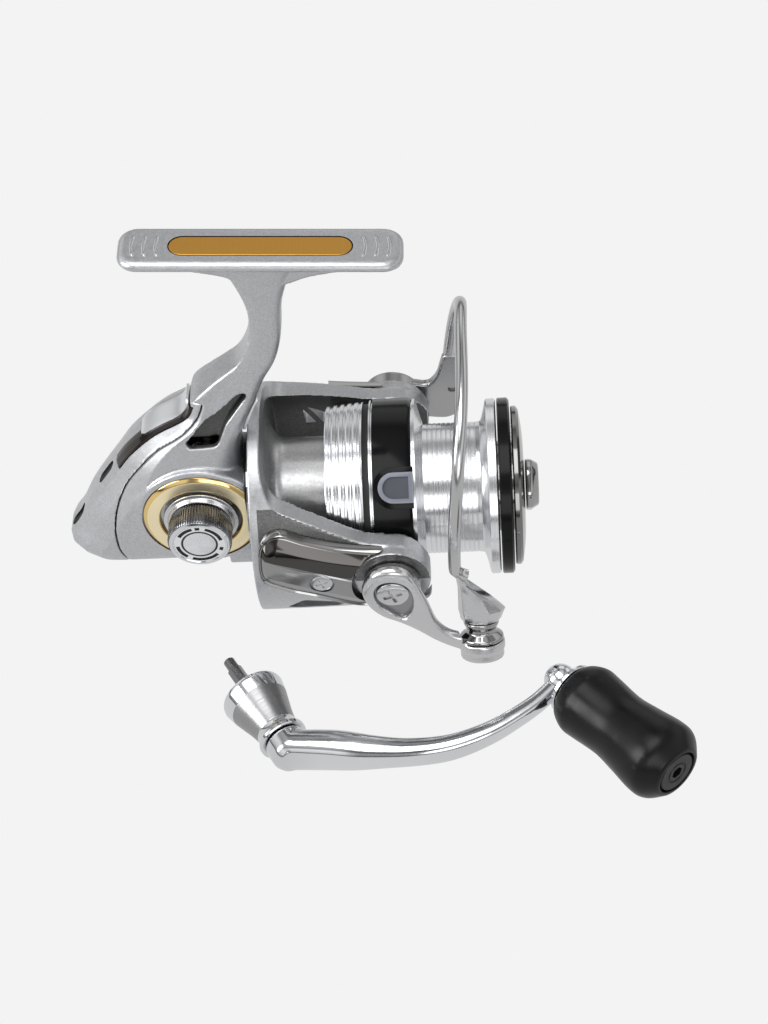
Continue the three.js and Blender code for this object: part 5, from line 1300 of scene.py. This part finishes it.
def spool_profile():
    ribs = SKIRT_RIBS
    step = (ribs.front - SPOOL.back) / ribs.count
    points = [(SPOOL.back, SPOOL.inner)]
    for i in range(ribs.count):
        x = SPOOL.back + step * i
        radius = SPOOL.skirt + (SPOOL.swell - SPOOL.skirt) * i / ribs.count
        points += [(x + step * 0.08, radius - ribs.depth * 0.3), (x + step * 0.2, radius),
                   (x + step * 0.62, radius),
                   (x + step * 0.74, radius - ribs.depth), (x + step * 0.96, radius - ribs.depth)]
    seat = BAND.radius - BAND.thickness - GAP
    lip = BAND.radius - BAND.thickness / 2
    root = BEAD.radius - BEAD.groove
    points += [(ribs.front + HAIR, SPOOL.swell - HAIR), (ribs.front + ribs.land, SPOOL.swell),
               (ribs.front + GAP * 2, root), (BEAD.back, root), (BEAD.back + BEVEL, BEAD.radius),
               (SPOOL.band - BEVEL * 2, BEAD.radius), (SPOOL.band - GAP, seat), (SPOOL.band_end + GAP, seat),
               (SPOOL.band_end + GAP, lip), (SPOOL.band_end + GAP * 3, lip), (ARBOR.back, ARBOR.radius)]
    pitch = (ARBOR.front - ARBOR.back) / (ARBOR.grooves + 1)
    for i in range(ARBOR.grooves):
        x = ARBOR.back + pitch * (i + 1)
        points += [(x - pitch * 0.16, ARBOR.radius), (x - pitch * 0.06, ARBOR.radius - ARBOR.groove),
                   (x + pitch * 0.06, ARBOR.radius - ARBOR.groove), (x + pitch * 0.16, ARBOR.radius)]
    points += [(ARBOR.front, ARBOR.radius + HAIR)]
    for k in range(1, 6):
        t = k / 6
        points.append((ARBOR.front + (LIP.back - ARBOR.front) * t,
                       ARBOR.radius + (LIP.radius - ARBOR.radius) * t ** 1.6))
    ease = BEVEL * 2
    points += [(LIP.back, LIP.radius - LIP.ease), (LIP.back + GAP, LIP.radius),
               (LIP.front - ease, LIP.radius), (LIP.front, LIP.radius - ease),
               (LIP.front, WEB.well), (WEB.well_back, WEB.well),
               (WEB.well_back, WEB.bore), (WEB.hub_back, WEB.bore), (WEB.hub_back, WEB.hub),
               (WEB.hollow, WEB.hub), (WEB.hollow, WEB.hollow_radius), (WEB.back + GAP, WEB.hollow_radius),
               (WEB.back, SPOOL.inner)]
    return points


def spool():
    piece = lathe("spool_turned", spool_profile(), 256)
    piece.data.materials.append(SPOOL_METAL)
    root = BEAD.radius - BEAD.groove - HAIR
    low, high = SKIRT_RIBS.front + SKIRT_RIBS.land, BEAD.back + HAIR
    # Painted shade: black in the groove in front of the bead
    paint(piece, SLOT_SHADE, lambda c, n: low < c.x < high and root < radial(c) < SPOOL.swell)
    place(piece, DRIVE, SPOOL_METAL, "spool_unit", ["spool"], "spool_aluminium", 24)


def spool_band():
    outer, inner = BAND.radius, BAND.radius - BAND.thickness
    low, high = SPOOL.band, SPOOL.band_end
    profile = [(low, inner), (low, outer - BEVEL), (low + GAP / 2, outer), (high - GAP * 3, outer),
               (high - HAIR, outer - BAND.ease), (high, outer - BAND.ease - HAIR), (high, inner)]
    place(lathe("spool_band_gloss", profile, 256), DRIVE, BLACK_BAND, "spool_unit", ["spool_band"],
          "black_band", 30)


def clip_outline(grow):
    """A tongue with a round nose towards the skirt, grown or drawn in all round."""
    half = CLIP.width / 2 + grow
    middle = CLIP.ahead - CLIP.length / 2 + CLIP.width / 2
    tail = CLIP.ahead + CLIP.length / 2 + min(grow, 0)
    turns = [pi / 2 + pi * i / 24 for i in range(25)]
    return [(tail, -half), (tail, half)] + [(middle + half * cos(t), half * sin(t)) for t in turns]


def line_clip():
    low = BAND.radius + GAP
    high = low + CLIP.thickness
    plate = prism("line_clip_plate", clip_outline(0), low, high, "xy")
    round_edges(plate)
    plate.data.materials.append(CLIP_GREY)
    hollow = prism("hollow", clip_outline(-CLIP.rim), high - CLIP.thickness / 2, high + OVER / 2, "xy")
    combine(plate, hollow, finish=CLIP_PAD)
    place(plate, ON_CLIP, CLIP_GREY, "spool_unit", ["line_clip"], "clip_plastic", 35)
    seat = prism("line_clip_seat", clip_outline(CLIP.seat), BAND.radius - GAP * 2, BAND.radius + GAP / 2,
                 "xy")
    round_edges(seat, CLIP.ease)
    place(seat, ON_CLIP, BLACK_BAND, "spool_unit", slot="black_band", angle=35)


def lip_ring():
    inner, outer = LIP_RING.inner, LIP_RING.radius
    low, high = LIP_RING.back, LIP_RING.front
    profile = [(low, inner), (low, outer - GAP), (low + GAP, outer), (high - LIP_RING.ease, outer),
               (high, outer - GAP * 2), (high, inner)]
    place(lathe("lip_ring_gloss", profile, 256), DRIVE, BLACK_BAND, "spool_unit", ["lip_ring"],
          "black_band", 30)


def drag_knob():
    bore, end, back, front = WEB.bore, DRAG.shaft + GAP, DRAG.back, DRAG.front
    radius, edge = DRAG.radius, DRAG.radius - DRAG.ease
    profile = [(end, 0), (end, bore), (DRAG.stem_back, bore), (DRAG.stem_back, DRAG.stem),
               (back, DRAG.stem), (back, radius - GAP), (back + GAP, radius), (front - GAP * 2, radius),
               (front, edge)]
    for k in range(1, 9):
        t = k / 8
        profile.append((front + (DRAG.crown - front) * sin(pi / 2 * t), edge * (1 - 0.45 * t)))
    profile.append((DRAG.crown, 0))
    place(lathe("drag_knob_plate", profile, 256), DRIVE, KNOB_CHROME, "drag", ["drag_knob"], "dark_chrome",
          24)


GRIP_PLAN = [
    (-1, -0.5), (-0.75, -0.92), (0, -1), (0.75, -0.92), (1, -0.5),
    (1, 0.5), (0.75, 0.92), (0, 1), (-0.75, 0.92), (-1, 0.5),
]
SCOOP = Sizes(radius=4.2, out=7.2)


def grip_ring(share, x):
    plan = [(a * GRIP.length / 2 * share, b * GRIP.width / 2 * share) for a, b in GRIP_PLAN]
    plan = fillet(plan, GRIP.soft, 3)
    turn = CLIP_TURN
    return [(x, p.y * cos(turn) - p.x * sin(turn), p.y * sin(turn) + p.x * cos(turn)) for p in plan]


def drag_grip():
    low = DRAG.crown + GAP
    high = low + GRIP.height
    levels = [(0.97, low), (1, low + GAP), (1, low + OVER / 2), (0.985, low + GRIP.height * 0.5),
              (0.9, high - GRIP.edge), (0.86, high - GRIP.ease), (0.8, high)]
    grip = loft("drag_grip_bar", [grip_ring(share, x) for share, x in levels])
    for side in (-1, 1):
        scoop = rod("scoop", SCOOP.radius, low + GRIP.height * 0.45, high + OVER / 2, 48)
        scoop.data.transform(Matrix.Rotation(CLIP_TURN, 4, "X")
                             @ Matrix.Translation((0, side * SCOOP.out, 0)))
        combine(grip, scoop)
    round_edges(grip, angle=25)
    place(grip, DRIVE, DARK_CHROME, "drag", ["drag_grip"], "dark_chrome", 30)


# Handle, taken off the reel
CRANK_LINE = [(0, 0), (0.28, 0.13), (0.55, 0.24), (0.83, 0.37), (1.03, 0.5), (1.12, 0.64), (1.13, 0.76),
              (1.1, 0.88), (1, 1)]
STUB = Sizes(radius=1.9, length=32.2, tip=1.4, tip_length=3)
CAP_SOCKET = Sizes(across=1.6, depth=1.2)
CAP_GROOVE = [(0.1, 2.9), (0.3, 2.75), (0.3, 2.45), (0.1, 2.3)]
COLLAR_BAND = Sizes(low=0.27, high=0.78)


def limb_ring(point, along, wide, high, sides=48):
    """A flat-faced ring with round corners, square to the limb's run in the plane of the handle."""
    across = Vector((-along.y, along.x, 0)).normalized()
    return oval(point, across * wide, Vector((0, 0, high)), sides, 0.72)


def handle_arm():
    line = [Vector((a * CRANK.offset, b * CRANK.reach, 0)) for a, b in CRANK_LINE]
    path = smooth_loop(line, 8, closed=False)
    thick, slim = CRANK.thick, CRANK.slim
    wides = [CRANK.boss * 0.75, thick * 1.25, thick * 0.95, thick * 0.8, slim * 1.1, slim, slim]
    highs = [CRANK.boss, thick * 1.4, thick * 1.02, thick * 0.95, slim * 1.25, slim * 1.1, slim]
    sizes = smooth_loop(list(zip(wides, highs)), 12, closed=False)
    rings = []
    for i, point in enumerate(path):
        at = i / (len(path) - 1) * (len(sizes) - 1)
        size = sizes[int(at)].lerp(sizes[min(int(at) + 1, len(sizes) - 1)], at - int(at))
        along = path[min(i + 1, len(path) - 1)] - path[max(i - 1, 0)]
        rings.append(limb_ring(point, along, size.x, size.y))
    bow = loft("handle_arm_bow", rings)
    low, high = -CRANK.boss_depth / 2, CRANK.boss_depth / 2
    radius, ball = CRANK.boss, CRANK.ball
    profile = fillet([(low, radius), (CRANK.boss_depth / 5, radius), (high, radius * 0.8), (high, 0)],
                     SOFT, closed=False)
    boss = lathe("boss", [(low, 0)] + profile, 160)
    arc = [(ball * sin(radians(a)), ball * cos(radians(a))) for a in range(-81, 40, 3)]
    knuckle = lathe("handle_arm_ball", [(-ball, 0)] + arc + [(ball * 0.62, ball * 0.6), (ball * 0.62, 0)])
    whole = cast(heap(bow, boss), VOXEL.crank, 14, 0.6)
    place(whole, HANDLE, HANDLE_CHROME, "crank", ["handle_arm"], "handle_chrome", 60)
    place(knuckle, ON_KNOB, HANDLE_CHROME, "crank", slot="handle_chrome", angle=40)


def handle_collar():
    near, far = -CRANK.boss_depth / 2 - GAP, -HANDLE_COLLAR.back
    long = near - far
    rim, waist, base = HANDLE_COLLAR.rim, HANDLE_COLLAR.waist, HANDLE_COLLAR.base
    lip, bore = HANDLE_COLLAR.lip, HANDLE_COLLAR.bore
    flare = smooth_loop([(far + lip, rim), (far + long * 0.25, rim * 0.92), (far + long * 0.6, waist * 1.12),
                         (far + long * 0.8, waist)], 6, closed=False)
    profile = [(far + lip * 2, bore), (far + lip, rim - lip), (far + lip * 0.3, rim - lip * 0.75),
               (far, rim - lip / 2),
               (far + lip * 0.3, rim - lip * 0.12)]
    profile += [tuple(p) for p in flare]
    profile += [(near - lip * 1.4, base * 0.96), (near - lip, base), (near - BEVEL, base * 0.99),
                (near, base * 0.95),
                (near, bore)]
    collar = lathe("handle_collar_turned", profile, 192)
    collar.data.materials.append(HANDLE_CHROME)
    low, high = far + long * COLLAR_BAND.low, far + long * COLLAR_BAND.high
    paint(collar, COLLAR_GREY, lambda c, n: low < c.x < high and radial(c) > bore + lip)
    place(collar, HANDLE, HANDLE_CHROME, "crank", ["handle_collar"], "handle_chrome", 30)


def handle_shaft():
    high = -CRANK.boss_depth / 2 - GAP
    low = -STUB.length + STUB.tip_length
    rings = []
    for x, pull in ((low, GAP), (low + GAP, 0), (high, 0)):
        plan = fillet(circle(STUB.radius - pull, 6), FINE, 2)
        rings.append([(x, p.x, p.y) for p in plan])
    stem = loft("handle_shaft_hex", rings)
    end, radius = -STUB.length, STUB.tip
    profile = [(end, 0), (end, radius - GAP), (end + GAP, radius), (low + GAP, radius), (low + GAP, 0)]
    tip = lathe("handle_shaft_tip", profile, 64)
    place(stem, HANDLE, DARK_STEEL, "crank", ["handle_shaft"], "steel", 30)
    place(tip, HANDLE, DARK_STEEL, "crank", slot="steel", angle=30)


def knob():
    seat = CRANK.ball * 0.8 + GAP
    start = seat + WASHER.thickness + GAP
    end, long = start + KNOB.length, KNOB.length
    inner, outer, front = WASHER.inner, WASHER.radius, seat + WASHER.thickness
    washer = [(seat, inner)] + fillet([(seat, outer), (front, outer), (front, inner)], FINE, closed=False)
    place(lathe("knob_washer_ring", washer), ON_KNOB, HANDLE_CHROME, "crank", ["knob_washer"],
          "handle_chrome", 30)
    back, swell, waist, front, cap = KNOB.back, KNOB.swell, KNOB.waist, KNOB.front, KNOB.cap
    shares = [(0.03, back), (0.12, swell), (0.22, swell * 0.99), (0.43, waist), (0.6, swell), (0.8, front),
              (0.9, front * 0.95)]
    side = [(start, back * 0.8)] + [(start + long * share, radius) for share,
                                    radius in shares] + [(end - GAP, cap * 1.3)]
    floor, bore = end - KNOB.cap_depth, KNOB.bore
    profile = [(start, bore)] + [tuple(p) for p in smooth_loop(side, 10, closed=False)]
    profile += [(end, cap + GAP * 3), (end, cap + KNOB.ease), (end - GAP, cap + GAP), (floor, cap + GAP),
                (floor, bore)]
    place(lathe("handle_knob_soft", profile, 192), ON_KNOB, RUBBER, "grip_knob", ["handle_knob"],
          "knob_rubber", 35)
    low = floor + GAP
    profile = [(low, 0), (low, cap - HAIR), (end - KNOB.cap_ease, cap - HAIR), (end - HAIR, cap - GAP)]
    profile += [(end - down, radius) for down, radius in CAP_GROOVE] + [(end - HAIR, 0)]
    face = lathe("knob_cap_disc", profile, 160)
    socket = prism("socket", circle(CAP_SOCKET.across, 6), end - CAP_SOCKET.depth, end + OVER / 2, "yz")
    combine(face, socket)
    place(face, ON_KNOB, CAP_RUBBER, "grip_knob", ["knob_cap"], "knob_rubber", 30)


spool()
spool_band()
line_clip()
lip_ring()
drag_knob()
drag_grip()
handle_arm()
handle_collar()
handle_shaft()
knob()


# Camera, light and floor
PAPER = 0.896
SOFT_SKY = (0.9, 0.92, 0.95)
SKY_GLOW = 0.34
FLOOR_GLOW = 0.68
FLOOR_HALF = 3
ROOM_HEIGHTS = [(0, 0.1), (0.3, 0.16), (0.46, 0.05), (0.52, 0.1), (0.6, 0.75), (0.78, 1.0), (0.86, 0.3),
                (1, 0.85)]
ROOM_BANDS = [
    (0, 0.8), (0.2, 1), (0.33, 1), (0.37, 0.3), (0.43, 0.35), (0.47, 1), (0.62, 1), (0.66, 0.45),
    (0.7, 0.5), (0.74, 1),
]
VIEW = Sizes(elevation=radians(47.5), distance=600, target=(27.4, 0, -87.2), focal=2421, long_side=1024)


def set_camera():
    camera = bpy.data.cameras.new("camera")
    camera.sensor_width = 36
    camera.lens = camera.sensor_width * VIEW.focal / VIEW.long_side
    camera.clip_end = 10
    holder = bpy.data.objects.new("camera", camera)
    away = Vector((0, -cos(VIEW.elevation), sin(VIEW.elevation)))
    holder.location = (Vector(VIEW.target) + away * VIEW.distance) * METRES
    holder.rotation_euler = (pi / 2 - VIEW.elevation, 0, 0)
    bpy.context.collection.objects.link(holder)
    bpy.context.scene.camera = holder


def soft_light(name, place, size, power):
    light = bpy.data.lights.new(name, "AREA")
    light.shape = "RECTANGLE"
    light.size, light.size_y = (s * METRES for s in size)
    light.energy = power
    holder = bpy.data.objects.new(name, light)
    holder.location = Vector(place) * METRES
    aim = Vector(VIEW.target) - Vector(place)
    holder.rotation_euler = aim.to_track_quat("-Z", "Y").to_euler()
    bpy.context.collection.objects.link(holder)


def fill_ramp(ramp, stops):
    elements = ramp.color_ramp.elements
    while len(elements) < len(stops):
        elements.new(0.5)
    for element, (position, value) in zip(elements, stops):
        element.position = position
        element.color = (value, value, value, 1)


def ramp_along(tree, value, stops):
    """Greys laid out along a value from -1 to 1."""
    ramp = tree.nodes.new("ShaderNodeValToRGB")
    fill_ramp(ramp, stops)
    tree.links.new(spread(tree, value, -1, 1, 0, 1), ramp.inputs["Fac"])
    return ramp.outputs["Color"]


def background(tree, color, strength=1.0):
    made = tree.nodes.new("ShaderNodeBackground")
    made.inputs["Strength"].default_value = strength
    if isinstance(color, tuple):
        made.inputs["Color"].default_value = (*color, 1)
    else:
        tree.links.new(color, made.inputs["Color"])
    return made.outputs[0]


def mixed(tree, share, first, second):
    made = tree.nodes.new("ShaderNodeMixShader")
    for source, socket in zip((share, first, second), made.inputs):
        tree.links.new(source, socket)
    return made.outputs[0]


def set_world():
    """A pale room with a few dark and bright bands, which only polished pieces show."""
    world = bpy.data.worlds.new("room")
    world.use_nodes = True
    tree = world.node_tree
    tree.nodes.clear()
    output = tree.nodes.new("ShaderNodeOutputWorld")
    path = tree.nodes.new("ShaderNodeLightPath").outputs
    parts = tree.nodes.new("ShaderNodeSeparateXYZ")
    tree.links.new(tree.nodes.new("ShaderNodeTexCoord").outputs["Generated"], parts.inputs[0])
    room = tree.nodes.new("ShaderNodeMix")
    room.data_type = "RGBA"
    room.blend_type = "MULTIPLY"
    room.inputs["Factor"].default_value = 1
    tree.links.new(ramp_along(tree, parts.outputs["Z"], ROOM_HEIGHTS), room.inputs["A"])
    tree.links.new(ramp_along(tree, parts.outputs["X"], ROOM_BANDS), room.inputs["B"])
    mirrored = background(tree, room.outputs["Result"])
    lit = mixed(tree, path["Is Glossy Ray"], background(tree, SOFT_SKY, SKY_GLOW), mirrored)
    seen = mixed(tree, path["Is Camera Ray"], lit, background(tree, (PAPER, PAPER, PAPER)))
    tree.links.new(seen, output.inputs[0])
    bpy.context.scene.world = world


def set_floor():
    """A pale even floor that is darker to the pieces, so that polished undersides keep their edges."""
    material, tree, surface = shader("floor", (0.05, 0.05, 0.05), 0.9, 0.0, specular=0.0)
    bumped(tree, surface, noise(tree, 40, 2), HAZE_DEPTH * 5, 0.05)
    surface.inputs["Emission Color"].default_value = (1, 1, 1, 1)
    surface.inputs["Emission Strength"].default_value = FLOOR_GLOW
    pale = tree.nodes.new("ShaderNodeEmission")
    pale.inputs["Color"].default_value = (PAPER, PAPER, PAPER, 1)
    seen = tree.nodes.new("ShaderNodeLightPath").outputs["Is Camera Ray"]
    both = mixed(tree, seen, surface.outputs[0], pale.outputs[0])
    tree.links.new(both, tree.nodes["Material Output"].inputs["Surface"])
    level = CAD_BOX[0].z - METRES
    corners = [(x * FLOOR_HALF, y * FLOOR_HALF, level) for x, y in ((-1, -1), (1, -1), (1, 1), (-1, 1))]
    mesh = bpy.data.meshes.new("floor")
    mesh.from_pydata(corners, [], [(0, 1, 2, 3)])
    mesh.materials.append(material)
    floor = bpy.data.objects.new("floor", mesh)
    bpy.context.collection.objects.link(floor)
    return floor


def dress_inner_pieces():
    """The pieces inside the reel keep their CAD shape and take a finish."""
    for names, material in INNER:
        for name in names.split():
            bpy.data.objects[name].data.materials[0] = material


INNER = [
    ("drive_shaft drive_bearing_near drive_bearing_far pinion_bearing main_shaft", STEEL),
    ("guide_rod oscillation_axle", STEEL),
    ("rotor_nut click_ratchet knob_spindle roller_pin side_screw_1 side_screw_2 side_screw_3", STEEL),
    ("pinion_gear oscillation_pinion oscillation_gear slider_block", BRASS),
    ("one_way_clutch seal_ring", CLUTCH),
    ("drag_washer_1 drag_washer_2 drag_washer_3", WASHER_FELT),
    ("drive_gear", GEAR_ALLOY),
]

dress_inner_pieces()
set_camera()
set_world()
set_floor()
soft_light("sky", (-60, -60, 420), (420, 320), 1.2)
soft_light("window_left", (-420, -160, 160), (220, 320), 1.5)
soft_light("fill_front", (120, -460, 120), (320, 220), 0.4)
bpy.context.scene.view_settings.view_transform = "Standard"
